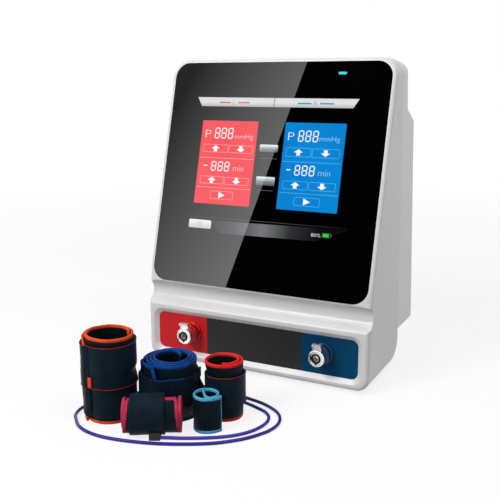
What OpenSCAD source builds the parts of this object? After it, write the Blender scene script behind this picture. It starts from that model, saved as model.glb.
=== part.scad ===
// Pneumatic tourniquet console with its set of rolled limb cuffs.
// A tilted glass screen sits over a block that carries two quick couplings.
// Five cuffs are rolled up on the table and one of them keeps its air hose.
// Front faces -Y. All stands on z = 0, the origin is under the middle of console and cuffs.

/* [Console housing] */
// Width of the housing
body_w = 317; // [300:1:340]
// Height of the tilted glass, measured along its slope
glass_h = 298; // [280:1:310]
// Lean of the glass from upright, in degrees
glass_tilt = 14.9; // [10:0.1:18]
// Thickness of the glass
glass_t = 3; // [2:0.1:4]
// Corner radius of the glass
glass_r = 20; // [12:1:28]
// Width of the moulded rim around the glass
rim_w = 5.5; // [5:0.1:9]
// Rounding of that rim
rim_round = 4.5; // [3:0.1:5]
// Height of the lower edge of the glass above the table
glass_z = 114; // [110:1:120]
// Wall thickness of the mouldings
wall = 3; // [2.4:0.1:4]
// Depth from the glass to the seam at table height
seam_y0 = 125; // [115:1:135]
// Forward lean of the seam and of the parting plane
seam_lean = 3.6; // [2:0.1:5]
// Rounding of the lower side edges
side_round = 16; // [10:1:20]
// Rounding of the lower rear edge of the front moulding
heel_round = 20; // [12:1:24]

/* [Port block] */
// How far the block stands in front of the glass edge
block_proud = 3; // [2:0.1:6]
// Top of the flat front face of the block
block_top = 78; // [76:1:80]
// Rounding around the front face of the block
block_round = 6; // [4:0.5:8]
// Radius of the scooped cove between block and glass
cove_r = 15; // [13:0.5:17]
// How far the cove reaches behind the glass edge
cove_in = 11; // [8:0.5:13]
// Rounding of the lip under the glass
lip_r = 3; // [2:0.1:4]
// Depth of the recess that holds the port plates
strip_in = 4.3; // [3:0.1:6]
// Width of the row of port plates
strip_w = 288; // [270:1:292]
// Height of the row of port plates
strip_h = 50.7; // [44:0.1:54]
// Lower edge of the port plates above the table
strip_z = 17.8; // [16:0.1:20]
// Corner radius of the port plates
strip_r = 9; // [6:0.5:12]
// Bevel around the port plates
strip_bevel = 6; // [4:0.5:7]
// Thickness of the port plates
plate_t = 2; // [1.5:0.1:3]
// Width of the dark middle plate
centre_w = 137; // [110:1:150]

/* [Rear cover] */
// Depth of the cover behind the seam at its lower back edge
bulge_back = 76; // [60:1:90]
// Lean of the back face, in degrees
back_lean = 6.3; // [4:0.1:8]
// Lower edge of the cover at the seam
cover_z = 38; // [34:1:46]
// Height where the back steps in
ledge_z = 318; // [290:1:330]
// Depth of the cover above the step
upper_back = 38; // [30:1:44]
// Rounding of the cover edges
cover_r = 10; // [7:0.5:13]
// Step between the two mouldings along the seam
seam_step = 0.6; // [0.4:0.1:1]
// Number of cooling slots in one row
vent_n = 9; // [5:1:12]
// Length of one cooling slot
vent_l = 46; // [30:1:55]
// Height of one cooling slot
vent_h = 3; // [2:0.1:4]

/* [Display] */
// Width of the display panel
lcd_w = 260; // [240:1:268]
// Height of the display panel
lcd_h = 204; // [190:1:208]
// Thickness of the display panel
lcd_t = 9; // [7:0.5:12]
// Height of its centre along the glass
lcd_mid = 167; // [160:1:175]
// Width of the status lamp
lamp_w = 11; // [8:0.5:14]
// Height of the status lamp
lamp_h = 3.2; // [2.5:0.1:5]

/* [Couplings] */
// Distance of the left coupling from the middle
left_x = 91; // [84:1:106]
// Distance of the right coupling from the middle
right_x = 98; // [84:1:106]
// Height of the couplings above the table
port_z = 46; // [42:1:50]
// Reach of a coupling in front of its plate
port_out = 24; // [22:0.5:28]
// Diameter of the coloured collar
collar_d = 28; // [24:0.5:30]
// Length of the coloured collar
collar_l = 12; // [8:0.5:12]
// Diameter of the metal head
head_d = 21; // [20:0.5:23]
// Diameter of the threaded shank
shank_d = 14; // [13:0.5:15]
// Bore that takes the hose plug
socket_d = 8.4; // [8:0.1:8.8]
// Depth of that bore
socket_l = 12; // [11.5:0.5:12.5]
// Bore that guides the valve poppet
guide_d = 6; // [5.5:0.1:6.5]
// Width of the thumb latch plate
latch_w = 11.2; // [10.6:0.1:11.4]
// Thickness of the thumb latch plate
latch_t = 1.8; // [1.5:0.1:2]
// Upward travel of the thumb latch when it locks
latch_travel = 1.1; // [0.8:0.1:1.2]
// Travel of the valve poppet
poppet_travel = 3; // [2:0.1:3.5]

/* [Inside] */
// Outside diameter of the inner air hoses
tube_d = 9; // [8:0.1:10]
// Bore of the inner air hoses
tube_bore = 5.2; // [5:0.1:5.6]
// Diameter of a pump motor
motor_d = 27; // [24:1:30]
// Diameter of a valve coil
coil_d = 15; // [12:0.5:18]
// Length of the battery pack
battery_l = 84; // [60:1:90]
// Depth of the battery pack
battery_w = 46; // [36:1:48]
// Height of the battery pack
battery_h = 44; // [30:1:55]
// Length of the power supply
supply_l = 104; // [80:1:110]
// Depth of the power supply
supply_w = 44; // [36:1:46]
// Height of the power supply
supply_h = 34; // [26:1:40]
// Length of the control board
board_l = 210; // [160:1:220]
// Width of the control board
board_w = 140; // [120:1:160]

/* [Cuffs] */
// Thickness of the laminated cuff cloth
cloth_t = 3.2; // [2.6:0.1:3.4]
// Thickness of the coloured edge binding
bind_t = 3.5; // [3:0.1:3.6]
// Height of the coloured edge binding
bind_h = 4; // [3:0.1:6]
// Step from one turn of a roll to the next
pitch = 4; // [3.9:0.05:4.3]
// Thickness of the closing straps
strap_t = 2; // [1.5:0.1:2.2]
// Width of the wide orange cuff
orange_h = 100; // [80:1:110]
// Width of the blue cuff
blue_h = 68; // [60:1:80]
// Width of the red cuff
red_h = 68.5; // [60:0.5:80]
// Width of the small cyan cuff
cyan_h = 42; // [34:1:50]
// Width of the pink cuff that lies on its side
pink_h = 64.4; // [56:0.2:70]
// Inside radius of the orange roll
orange_ri = 22.8; // [18:0.1:24]
// Inside radius of the blue roll
blue_ri = 18.6; // [17:0.1:20]
// Inside radius of the red roll
red_ri = 13.6; // [12:0.1:17]
// Inside radius of the cyan roll
cyan_ri = 10.8; // [10:0.1:12]
// Inside radius of the pink roll
pink_ri = 10.5; // [9:0.1:12]
// Diameter of the air nipple on a cuff
nipple_d = 6; // [5:0.1:7]

/* [Cuff hose] */
// Outside diameter of the cuff hose
hose_d = 4; // [3.6:0.1:4.2]
// Diameter of the plug pin on the hose
pin_d = 8.2; // [7.8:0.1:8.2]
// Length of the plug pin
pin_l = 11.6; // [11:0.1:11.8]

/* [Feet] */
// Height of the rubber feet
foot_h = 4; // [3:0.5:6]
// Diameter of the rubber feet
foot_d = 22; // [18:1:24]
// Sideways distance of the feet from the middle
foot_x = 128; // [110:1:132]
// Front feet behind the glass edge
foot_front = 21; // [16:1:30]
// Rear feet behind the glass edge
foot_rear = 91; // [80:1:92]

/* [Hidden] */
$fn = 48;
eps = 0.01;
fit = 0.3;
front_y = 17;
shell = [0.92, 0.92, 0.91];
metal = [0.78, 0.78, 0.8];
cloth = [0.09, 0.12, 0.16];
rubber = [0.12, 0.12, 0.13];
glass_w = body_w - 2 * rim_w;
st = sin(glass_tilt);
ct = cos(glass_tilt);
half = body_w / 2;
rim_r = glass_r + rim_w;
slope_h = glass_h + 2 * rim_w;
top_z = glass_z + (glass_h + rim_w) * ct - rim_round * st;
sl = tan(seam_lean);
strip_y = strip_in - block_proud;
panel_in = wall + 0.2;
web = strip_y + plate_t + panel_in;
tub_z = foot_h + wall;
heel_y = seam_y(foot_h + heel_round) - heel_round;
back_y0 = seam_y(cover_z) + bulge_back;
back_z0 = cover_z + 16;
chassis_z = tub_z + 3;
floor_z = chassis_z + 2;
latch_z = port_out - 2.4 - latch_t;
barb_y = web + 20;
tube_r = 15;
man_y = strip_y + 17 + tube_r + 10.5;
man_x = 45;
screw_top = top_z - 28;
screw_low = cover_z + 30;

// depth of the seam at a given height
function seam_y(z) = seam_y0 - sl * z;
// depth of the back face at a given height
function back_y(z) = back_y0 - tan(back_lean) * (z - back_z0);
// points of an arc in a plane
function arc(c, r, a0, a1, n) = [for (i = [0:n]) c + r * [cos(a0 + (a1 - a0) * i / n), sin(a0 + (a1 - a0) * i / n)]];

module place() translate([0, front_y, 0]) children();
module on_slope() translate([0, 0, glass_z]) rotate([90 - glass_tilt, 0, 0]) children();
module on_seam() translate([0, seam_y0, 0]) rotate([90 + seam_lean, 0, 0]) children();
module on_back() translate([0, back_y(back_z0), back_z0]) rotate([90 - back_lean, 0, 180]) children();
module out_front(x) translate([x, strip_y, port_z]) rotate([90, 0, 0]) children();
module rrect(w, h, r) {
  square([w - 2 * r, h], center = true);
  square([w, h - 2 * r], center = true);
  for (x = [-1, 1], y = [-1, 1]) translate([x * (w / 2 - r), y * (h / 2 - r)]) circle(r);
}
module slot2d(l, h) {
  square([l - h, h], center = true);
  for (x = [-1, 1]) translate([x * (l - h) / 2, 0]) circle(h / 2, $fn = 24);
}
// outline with a flat top and two rounded lower corners
module tub2d(w, z0, z1, r) {
  translate([-w / 2, z0 + r]) square([w, z1 - z0 - r]);
  translate([-w / 2 + r, z0]) square([w - 2 * r, r + 1]);
  for (x = [-1, 1]) translate([x * (w / 2 - r), z0 + r]) circle(r);
}
// thin upright slice at depth y
module slice(y) translate([0, y + eps, 0]) rotate([90, 0, 0]) linear_extrude(eps) children();

// Housing
// cove between the block and the lip of the glass rim
cove_c = [cove_in - cove_r, 0];
knee_r = 5;
knee_dz = sqrt(pow(cove_r + knee_r, 2) - pow(knee_r - block_proud - cove_c[0], 2));
cove_y = cove_c[0];
cove_z = block_top + knee_dz;
lip_k = glass_z * st - lip_r;
lip_a = acos((-ct * cove_y + st * cove_z - lip_k) / (cove_r + lip_r)) - glass_tilt;
lip_c = [cove_y, cove_z] + (cove_r + lip_r) * [cos(lip_a), sin(lip_a)];
knee_c = [knee_r - block_proud, block_top];
knee_a = atan2(cove_z - knee_c[1], cove_y - knee_c[0]);

module cove_cut() {
  rotate([90, 0, 90]) translate([0, 0, -half - 5]) linear_extrude(body_w + 10) polygon(concat(
    [[-40, block_top]],
    arc(knee_c, knee_r, 180, knee_a, 6),
    arc([cove_y, cove_z], cove_r, knee_a - 180, lip_a, 14),
    arc(lip_c, lip_r, 180 + lip_a, 180 - glass_tilt, 6),
    [lip_c + 40 * [-ct, st]]));
}
module front_solid() {
  difference() {
    hull($fn = 56) {
      for (a = [0:15:90]) {
        on_slope() translate([0, glass_h / 2, -rim_round * (1 - cos(a)) - eps]) linear_extrude(eps)
          rrect(body_w - 2 * rim_round * (1 - sin(a)), slope_h - 2 * rim_round * (1 - sin(a)),
            rim_r - rim_round * (1 - sin(a)));
        slice(-block_proud + block_round * (1 - cos(a)))
          tub2d(body_w - 2 * block_round * (1 - sin(a)), foot_h + block_round * (1 - sin(a)),
            block_top + 2, side_round - block_round * (1 - sin(a)));
        slice(heel_y + heel_round * sin(a))
          tub2d(body_w, foot_h + heel_round * (1 - cos(a)), block_top + 2, side_round);
      }
      intersection() {
        on_seam() translate([-half, -10, 0]) cube([body_w, top_z + 20, eps]);
        translate([0, seam_y0 + 10, 0]) rotate([90, 0, 0]) linear_extrude(60)
          translate([0, (top_z + foot_h + heel_round) / 2])
            rrect(body_w, top_z - foot_h - heel_round, side_round + 5);
      }
    }
    cove_cut();
    on_seam() translate([-half - 5, -50, -60]) cube([body_w + 10, 600, 60]);
  }
}
// hollow inside of the front moulding, drawn in side view and in front view
module front_hollow() {
  intersection() {
    rotate([90, 0, 90]) translate([0, 0, -half]) linear_extrude(body_w) polygon(concat(
      [[web, tub_z], [heel_y, tub_z]],
      arc([heel_y, foot_h + heel_round], heel_round - wall, -90, 0, 6),
      [[heel_y + heel_round - wall, cover_z + wall], [seam_y0 + 30, cover_z + wall],
       [seam_y0 + 30, top_z - wall], [(top_z - wall - glass_z) * st / ct + (glass_t + panel_in) / ct, top_z - wall]],
      [[cove_in + wall, glass_z + (cove_in + wall - (glass_t + panel_in) / ct) * ct / st],
       [cove_in + wall, block_top], [web, block_top - wall - 2]]));
    translate([0, seam_y0 + 40, 0]) rotate([90, 0, 0]) linear_extrude(seam_y0 + 60) {
      tub2d(body_w - 2 * wall, tub_z, top_z / 2, side_round - wall);
      translate([0, top_z * 0.75 - wall]) rrect(body_w - 2 * wall, top_z / 2, rim_r - wall);
    }
  }
}
module front_housing() {
  boss_l = 16;
  place() color(shell) difference() {
    union() {
      difference() {
        front_solid();
        front_hollow();
      }
      // screw bosses behind the seam and pads under the chassis
      for (x = [-1, 1], z = [screw_low, screw_top])
        translate([x * (half - wall - 7), seam_y(z) - boss_l, z]) rotate([-90, 0, 0]) cylinder(d = 11, h = boss_l - 3);
      for (x = [-1, 1], z = [screw_low, screw_top])
        translate([x * (half - wall - 3), seam_y(z) - boss_l / 2 - 1.5, z]) cube([6.4, boss_l - 3, 5], center = true);
      for (x = [-1, 1], y = [foot_front, foot_rear])
        translate([x * foot_x, y, tub_z - 0.5]) cylinder(d = 14, h = 3.5);
    }
    // pocket of the glass and the window of the display
    on_slope() translate([0, glass_h / 2, -glass_t]) linear_extrude(20)
      rrect(glass_w + 0.4, glass_h + 0.4, glass_r + 0.2);
    on_slope() translate([0, lcd_mid, -glass_t - 12]) linear_extrude(20) square([lcd_w + 1, lcd_h + 1], center = true);
    // bevelled recess of the port plates
    hull($fn = 32) {
      translate([0, strip_y, strip_z + strip_h / 2]) rotate([90, 0, 0]) linear_extrude(eps) rrect(strip_w + 0.4, strip_h + 0.4, strip_r);
      translate([0, -block_proud - eps, strip_z + strip_h / 2]) rotate([90, 0, 0]) linear_extrude(eps)
        rrect(strip_w + 2 * strip_bevel, strip_h + 2 * strip_bevel, strip_r + strip_bevel - 2);
    }
    translate([0, strip_y + plate_t, strip_z + strip_h / 2]) rotate([90, 0, 0]) linear_extrude(plate_t + 1)
      rrect(strip_w + 0.4, strip_h + 0.4, strip_r);
    // holes for the couplings
    for (x = [-left_x, right_x]) out_front(x) translate([0, 0, -web - 10]) cylinder(d = shank_d + 0.4, h = web + 20);
    // cover screws and foot screws
    for (x = [-1, 1], z = [screw_low, screw_top])
      translate([x * (half - wall - 7), seam_y(z) - 14, z]) rotate([-90, 0, 0]) cylinder(d = 4.3, h = 20);
    for (x = [-1, 1], y = [foot_front, foot_rear]) translate([x * foot_x, y, foot_h - 1]) cylinder(d = 4.4, h = 12);
  }
}
// side view of the cover below its step, walls moved in by g
module low_side(g) rotate([90, 0, 90]) translate([0, 0, -half - 5]) linear_extrude(body_w + 10) polygon(concat(
  [low_b + (14 - g) * [sin(10), -cos(10)] - 140 * [cos(10), sin(10)]],
  arc(low_b, 14 - g, -80, back_lean, 8),
  arc(low_t, 8 - g, back_lean, 64, 6),
  [low_t + (8 - g) * [cos(64), sin(64)] + 90 * [-sin(64), cos(64)], [0, ledge_z + 60]]));
low_b = [back_y0 - 14 / cos(back_lean), back_z0];
low_t = [back_y(ledge_z) - 8 / cos(back_lean), ledge_z];
// side view of the cover above its step
up_y = seam_y(ledge_z) + upper_back - 9;
module up_side(g) rotate([90, 0, 90]) translate([0, 0, -half - 5]) linear_extrude(body_w + 10) polygon(concat(
  [[seam_y0 - 60, ledge_z - 90], [up_y + 8 - g + 20, ledge_z - 90]],
  [[up_y + (8 - g) * cos(9) + 9, ledge_z - 24]],
  arc([up_y - 8, top_z - 30], 8 - g, 9, 42, 5),
  arc([up_y - 24, top_z - 14.5], 10 - g, 42, 77, 6),
  [[seam_y(top_z) - 2 - 40, top_z - g + 9]]));
// plan view outline with rounded rear corners, run up along the leaning back
module low_plan(g) on_back() translate([0, -120, 0]) rotate([-90, 0, 0]) linear_extrude(560) plan2d(g);
module up_plan(g) translate([0, up_y + 10, ledge_z - 20]) rotate([81, 0, 180]) translate([0, -120, 0]) rotate([-90, 0, 0])
  linear_extrude(300) plan2d(g);
module plan2d(g) {
  translate([-half + cover_r, g]) square([body_w - 2 * cover_r, 200]);
  translate([-half + g, cover_r]) square([body_w - 2 * g, 200]);
  for (x = [-1, 1]) translate([x * (half - cover_r), cover_r]) circle(cover_r - g);
}
module cover_solid(g) intersection() {
  translate([0, 300, 0]) rotate([90, 0, 0]) linear_extrude(400) translate([0, (top_z + cover_z) / 2])
    rrect(body_w - 2 * g, top_z - cover_z - 2 * g, side_round + 4 - g);
  union() {
    intersection() {
      low_side(g);
      low_plan(g);
    }
    intersection() {
      up_side(g);
      up_plan(g);
    }
  }
}
module behind_seam() on_seam() translate([-half - 5, -50, -200]) cube([body_w + 10, 600, 200]);
inlet_h = 25;
bay_w = 74;
bay_x = 84;
bay_z = 40;
module rear_cover() {
  z_mid = ledge_z - 40;
  place() color(shell) difference() {
    union() {
      difference() {
        intersection() {
          cover_solid(seam_step);
          behind_seam();
        }
        cover_solid(wall + seam_step);
      }
      // tubes for the cover screws, run out to the wall of the cover
      intersection() {
        cover_solid(seam_step + wall / 2);
        for (x = [-1, 1], z = [screw_low, screw_top])
          translate([x * (half - wall - 7), seam_y(z) + 0.4, z]) rotate([-90, 0, 0]) cylinder(d = 12, h = bulge_back + upper_back + 60);
      }
    }
    for (x = [-1, 1], z = [screw_low, screw_top]) {
      translate([x * (half - wall - 7), seam_y(z) - 5, z]) rotate([-90, 0, 0]) cylinder(d = 4.4, h = 20);
      translate([x * (half - wall - 7), seam_y(z) + 4.4, z]) rotate([-90, 0, 0]) cylinder(d = 8.4, h = 120);
    }
    // cooling slots and the bay of the mains inlet
    for (s = [-1, 1], i = [0:vent_n - 1])
      on_back() translate([s * 70, z_mid - back_z0 - i * (vent_h + 5), -wall * 3]) linear_extrude(wall * 6) slot2d(vent_l, vent_h);
    on_back() translate([bay_x, bay_z, -12]) linear_extrude(24) square([bay_w + 0.6, inlet_h + 0.6], center = true);
  }
}
module cover_screws() {
  place() color(metal) for (x = [-1, 1], z = [screw_low, screw_top])
    translate([x * (half - wall - 7), seam_y(z) + 4.4, z]) rotate([-90, 0, 0]) difference() {
      union() {
        translate([0, 0, -15]) cylinder(d = 4, h = 15);
        cylinder(d = 7.6, h = 2.6);
      }
      translate([0, 0, 1.2]) cylinder(d = 3.2, h = 4, $fn = 6);
    }
}
module glass_panel() {
  place() color([0.03, 0.03, 0.035]) on_slope() difference() {
    translate([0, glass_h / 2, -glass_t]) linear_extrude(glass_t) rrect(glass_w, glass_h, glass_r);
    translate([lamp_x, lamp_v, -glass_t - 1]) linear_extrude(glass_t + 2) slot2d(lamp_w + 0.2, lamp_h + 0.2);
  }
}
lamp_x = 89;
lamp_v = glass_h - 15;
module status_lamp() {
  place() color([0.2, 0.85, 0.95]) on_slope() translate([lamp_x, lamp_v, 0]) {
    translate([0, 0, -glass_t]) linear_extrude(glass_t) slot2d(lamp_w, lamp_h);
  }
}
module display_module() {
  place() color([0.25, 0.26, 0.28]) on_slope() translate([0, lcd_mid, -glass_t]) {
    translate([0, 0, -lcd_t]) linear_extrude(lcd_t) square([lcd_w, lcd_h], center = true);
    for (x = [-1, 1], y = [-1, 1]) translate([x * 90, y * 60, -lcd_t - 6]) cylinder(d = 7, h = 6.5);
  }
}
module control_board() {
  place() color([0.05, 0.35, 0.16]) on_slope() translate([0, lcd_mid, -glass_t - lcd_t - 6]) {
    translate([0, 0, -1.6]) linear_extrude(1.6) square([board_l, board_w], center = true);
    translate([-board_l * 0.28, board_w * 0.07, -9]) linear_extrude(8) square([34, 34], center = true);
    for (i = [0:4]) translate([30, -40 + i * 20, -5]) linear_extrude(4) square([22, 12], center = true);
    for (i = [0:3]) translate([board_l / 2 - 23, -45 + i * 30, -14]) cylinder(d = 10, h = 13);
    translate([-40, 8 - board_w / 2, -9]) linear_extrude(8) square([60, 10], center = true);
  }
}

// Port plates and couplings
module strip_piece(x0, x1) {
  intersection() {
    translate([0, strip_y + plate_t, strip_z + strip_h / 2]) rotate([90, 0, 0]) linear_extrude(plate_t) rrect(strip_w, strip_h, strip_r);
    translate([x0, -20, 0]) cube([x1 - x0, 60, 200]);
  }
}
module plate_hole(x) out_front(x) translate([0, 0, -20]) cylinder(d = shank_d + 0.3, h = 40);
module left_port_plate() {
  place() color([0.78, 0.16, 0.17]) difference() {
    strip_piece(-strip_w / 2, -centre_w / 2 - 0.1);
    plate_hole(-left_x);
  }
}
module centre_plate() {
  place() color([0.17, 0.17, 0.17]) strip_piece(-centre_w / 2 + 0.1, centre_w / 2 - 0.1);
}
module right_port_plate() {
  place() color([0, 0.28, 0.42]) difference() {
    strip_piece(centre_w / 2 + 0.1, strip_w / 2);
    plate_hole(right_x);
  }
}
module collar() {
  r = collar_d / 2;
  bore = shank_d / 2 + 0.15;
  rotate_extrude() polygon(concat(
    [[bore, 0], [r, 0], [r, 1.6]],
    arc([r - 1, 1.6], 1, 0, 90, 4),
    [[r - 1.6, 3]],
    arc([r - 4, collar_l - 2.6], 2.6, 0, 90, 6),
    [[bore, collar_l]]));
}
module left_collar() place() color([0.62, 0.05, 0.06]) out_front(-left_x) collar();
module right_collar() place() color([0.02, 0.13, 0.3]) out_front(right_x) collar();

barb_l = 12;
shank_l = web - strip_y + 8;
latch_low = socket_d / 2 + 1.2;
module coupling() {
  hr = head_d / 2;
  difference() {
    union() {
      rotate_extrude() polygon([[0, -shank_l], [shank_d / 2, -shank_l], [shank_d / 2, collar_l], [hr - 1.2, collar_l],
        [hr, collar_l + 1.2], [hr, port_out - 1], [hr - 1, port_out], [0, port_out]]);
      // barbed tail for the inner hose
      translate([0, 0, -shank_l - barb_l]) rotate_extrude() polygon([[0, 0], [tube_bore / 2 - 0.5, 0], [tube_bore / 2 - 0.05, 3], [tube_bore / 2 - 0.5, 3],
        [tube_bore / 2 - 0.5, 5], [tube_bore / 2 - 0.05, 8], [tube_bore / 2 - 0.5, 8], [tube_bore / 2 - 0.5, barb_l + 1], [0, barb_l + 1]]);
    }
    // air way, guide of the poppet, socket for the plug and its lead-in
    translate([0, 0, -shank_l - barb_l - 1]) cylinder(d = 2.6, h = 40);
    translate([0, 0, -5]) cylinder(d = guide_d, h = port_out - socket_l + 6);
    translate([0, 0, port_out - socket_l]) cylinder(d = socket_d, h = socket_l + 1);
    translate([0, 0, port_out - 0.8]) rotate_extrude() polygon([[0, 0], [socket_d / 2, 0], [socket_d / 2 + 1.2, 1.2], [0, 1.2]]);
    // cross slot of the thumb latch, open at the top
    translate([-latch_w / 2 - fit, -latch_low - 0.3, latch_z - 0.2]) cube([latch_w + 2 * fit, 30, latch_t + 0.4]);
    // cast relief beside and under the mouth
    translate([-7.8, -5.5, port_out - 0.8]) cube([1.3, 10, 2]);
    translate([-1.3, -8.2, port_out - 0.8]) cube([2.6, 3.4, 2]);
  }
}
module left_coupling() place() color(metal) out_front(-left_x) coupling();
module right_coupling() place() color(metal) out_front(right_x) coupling();
module latch() {
  up = head_d / 2;
  difference() {
    union() {
      translate([-latch_w / 2, -latch_low, latch_z]) cube([latch_w, latch_low + up + 5, latch_t]);
      // thumb tab, bent forward and wider than the plate
      translate([0, up + 4.4, latch_z]) linear_extrude(port_out - latch_z + 0.8) {
        translate([-6.2, 0]) square([12.4, 1.6]);
        polygon([[-6.2, 1.6], [6.2, 1.6], [5.2, 3], [-5.2, 3]]);
      }
    }
    translate([0, 0, latch_z - 1]) cylinder(d = socket_d + 0.4, h = latch_t + 2);
    for (i = [-2:2]) translate([i * 2 - 0.3, up + 4, port_out + 0.3]) cube([0.6, 4, 2]);
  }
}
module left_latch() place() color(metal) out_front(-left_x) latch();
module right_latch() place() color(metal) out_front(right_x) latch();
module poppet() {
  z0 = port_out - socket_l;
  rotate_extrude() polygon([[0, z0 - 9], [guide_d / 2 - fit, z0 - 9], [guide_d / 2 - fit, z0 - 4.6], [2, z0 - 3.4],
    [1.8, z0 - 0.9], [1.2, z0 - 0.3], [0, z0 - 0.3]]);
}
module left_poppet() place() color([0.85, 0.83, 0.78]) out_front(-left_x) poppet();
module right_poppet() place() color([0.85, 0.83, 0.78]) out_front(right_x) poppet();
module coupling_nuts() {
  place() color(metal) for (x = [-left_x, right_x]) out_front(x) translate([0, 0, -(web - strip_y) - 4]) difference() {
    cylinder(d = 23, h = 4, $fn = 6);
    translate([0, 0, -1]) cylinder(d = shank_d + 0.2, h = 6);
  }
}

// Inside of the console
// a bent hose from the coupling tail to the side of the manifold
module tube_route(x, d, over) {
  s = sign(x);
  y0 = strip_y + shank_l + 2;
  y1 = man_y - tube_r;
  translate([x, y0 - over, port_z]) rotate([-90, 0, 0]) cylinder(d = d, h = y1 - y0 + over + eps);
  translate([x - s * tube_r, y1, port_z]) rotate([0, 0, s > 0 ? 0 : 90]) rotate_extrude(angle = 90) translate([tube_r, 0]) circle(d = d);
  translate([x - s * tube_r, man_y, port_z]) rotate([0, -90 * s, 0]) cylinder(d = d, h = abs(x) - tube_r - man_x - 1 + over);
}
module air_tube(x) difference() {
  tube_route(x, tube_d, 0);
  tube_route(x, tube_bore, 0.8);
}
module left_air_tube() place() color([0.85, 0.87, 0.9]) air_tube(-left_x);
module right_air_tube() place() color([0.85, 0.87, 0.9]) air_tube(right_x);
module valve_manifold() {
  place() color([0.6, 0.62, 0.65]) difference() {
    union() {
      translate([-man_x, man_y - 11, floor_z]) cube([2 * man_x, 22, port_z + 9 - floor_z]);
      for (s = [-1, 1]) translate([s * man_x, man_y, port_z]) rotate([0, s * 90, 0]) rotate_extrude() polygon([[0, 0], [tube_bore / 2 - 0.5, 0], [tube_bore / 2 - 0.5, 4],
          [tube_bore / 2 - 0.05, 4], [tube_bore / 2 - 0.5, 7], [tube_bore / 2 - 0.05, 7], [tube_bore / 2 - 0.5, 11], [0, 11]]);
    }
    for (s = [-1, 1]) translate([s * (man_x + 12), man_y, port_z]) rotate([0, -s * 90, 0]) cylinder(d = 2.6, h = 40);
  }
}
module solenoid_valves() {
  place() color([0.2, 0.2, 0.22]) for (i = [0:3]) translate([-33 + i * 22, man_y, port_z + 9]) {
    cylinder(d = coil_d, h = 24);
    translate([0, 0, 24]) cylinder(d = coil_d - 7, h = 4);
  }
}
pump_x = half - wall - 49.5;
pump_y = 72;
module air_pumps() {
  place() color([0.15, 0.15, 0.16]) for (s = [-1, 1]) translate([pump_x + s * 19, pump_y, floor_z]) {
    translate([-17, -14, 0]) cube([34, 26, 36]);
    translate([0, -1, 36]) cylinder(d = 24, h = 6);
    translate([-8, -2, 42]) cylinder(d = 4, h = 7);
    translate([8, -2, 42]) cylinder(d = 4, h = 7);
  }
}
module pump_motors() {
  place() color(metal) for (s = [-1, 1]) translate([pump_x + s * 19, pump_y + 12, floor_z + 18]) rotate([-90, 0, 0]) {
    cylinder(d = motor_d, h = 22);
    translate([0, 0, 22]) cylinder(d = 10, h = 2);
  }
}
module battery_pack() {
  place() color([0.1, 0.2, 0.45]) translate([-half + wall + 9.5, seam_y0 - battery_w - 21, floor_z]) {
    cube([battery_l, battery_w, battery_h]);
    translate([10, 6, battery_h]) cube([30, 12, 3]);
  }
}
module power_supply() {
  place() color([0.7, 0.7, 0.68]) translate([-supply_l / 2, seam_y0 - supply_w - 21, floor_z]) difference() {
    cube([supply_l, supply_w, supply_h]);
    for (i = [0:11]) translate([10 + i * (supply_l - 20) / 11 - 1.5, 8, supply_h - 4]) cube([3, supply_w - 16, 8]);
  }
}
module chassis_plate() {
  place() color([0.66, 0.67, 0.68]) translate([0, 0, chassis_z]) difference() {
    translate([-half + wall + 6, web + 3, 0]) cube([body_w - 2 * wall - 12, heel_y - web - 3, 2]);
    for (x = [-1, 1], y = [foot_front, foot_rear]) translate([x * foot_x, y, -1]) cylinder(d = 5, h = 4);
    for (i = [-3:3]) translate([i * 30, web + 12, -1]) cylinder(d = 8, h = 4);
  }
}

// Mains inlet
rocker_r = 8;
module mains_inlet() {
  place() color(rubber) on_back() translate([bay_x, bay_z, 0]) difference() {
    union() {
      translate([0, 0, 0]) linear_extrude(2.4) rrect(bay_w + 8, inlet_h + 8, 3);
      translate([0, 0, -24]) linear_extrude(24.5) square([bay_w, inlet_h], center = true);
    }
    // appliance inlet with its three pins left standing
    translate([-bay_w / 2 + 16, 0, -16]) linear_extrude(30) difference() {
      polygon([[-12.4, -8.2], [12.4, -8.2], [12.4, 4.5], [8.8, 8.2], [-8.8, 8.2], [-12.4, 4.5]]);
      for (p = [[-7, -2], [7, -2], [0, 2.4]]) translate(p) square([1.8, 4], center = true);
    }
    translate([fuse_x, 0, -18]) linear_extrude(30) square([15.6, inlet_h - 6 + 0.6], center = true);
    translate([rock_x, 0, -18]) linear_extrude(30) square([13.6, 2 * rocker_r + 1.2], center = true);
  }
}
fuse_x = 5;
rock_x = bay_w / 2 - 12;
module fuse_drawer() {
  place() color([0.2, 0.2, 0.21]) on_back() translate([bay_x + fuse_x, bay_z, 0]) difference() {
    union() {
      translate([0, 0, -17.6]) linear_extrude(20.4) square([15, inlet_h - 6], center = true);
    }
    translate([0, -2, 1.8]) linear_extrude(3) square([9, 2.4], center = true);
    for (s = [-1, 1]) translate([s * 3.6, 0, -14]) rotate([0, 0, 0]) linear_extrude(11) square([5.4, inlet_h - 3], center = true);
  }
}
module power_rocker() {
  place() color([0.05, 0.05, 0.05]) on_back() translate([bay_x + rock_x, bay_z, -2]) rotate([-8, 0, 0]) intersection() {
    rotate([0, 90, 0]) translate([0, 0, -6.4]) cylinder(r = rocker_r, h = 12.8);
    translate([-8, -10, -5]) cube([16, 20, 10.4]);
    rotate([0, 90, 0]) translate([0, 0, -8]) linear_extrude(16) polygon([[6, -9], [-6.6, -9], [-4.6, 0], [-6.6, 9], [6, 9]]);
  }
}
module at_feet() place() for (x = [-1, 1], y = [foot_front, foot_rear]) translate([x * foot_x, y, 0]) children();
module rubber_feet() {
  color(rubber) at_feet() difference() {
    cylinder(d1 = foot_d - 3, d2 = foot_d, h = foot_h);
    translate([0, 0, -1]) cylinder(d = 9, h = foot_h - 0.4);
    cylinder(d = 4.3, h = foot_h + 1);
  }
}
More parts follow.
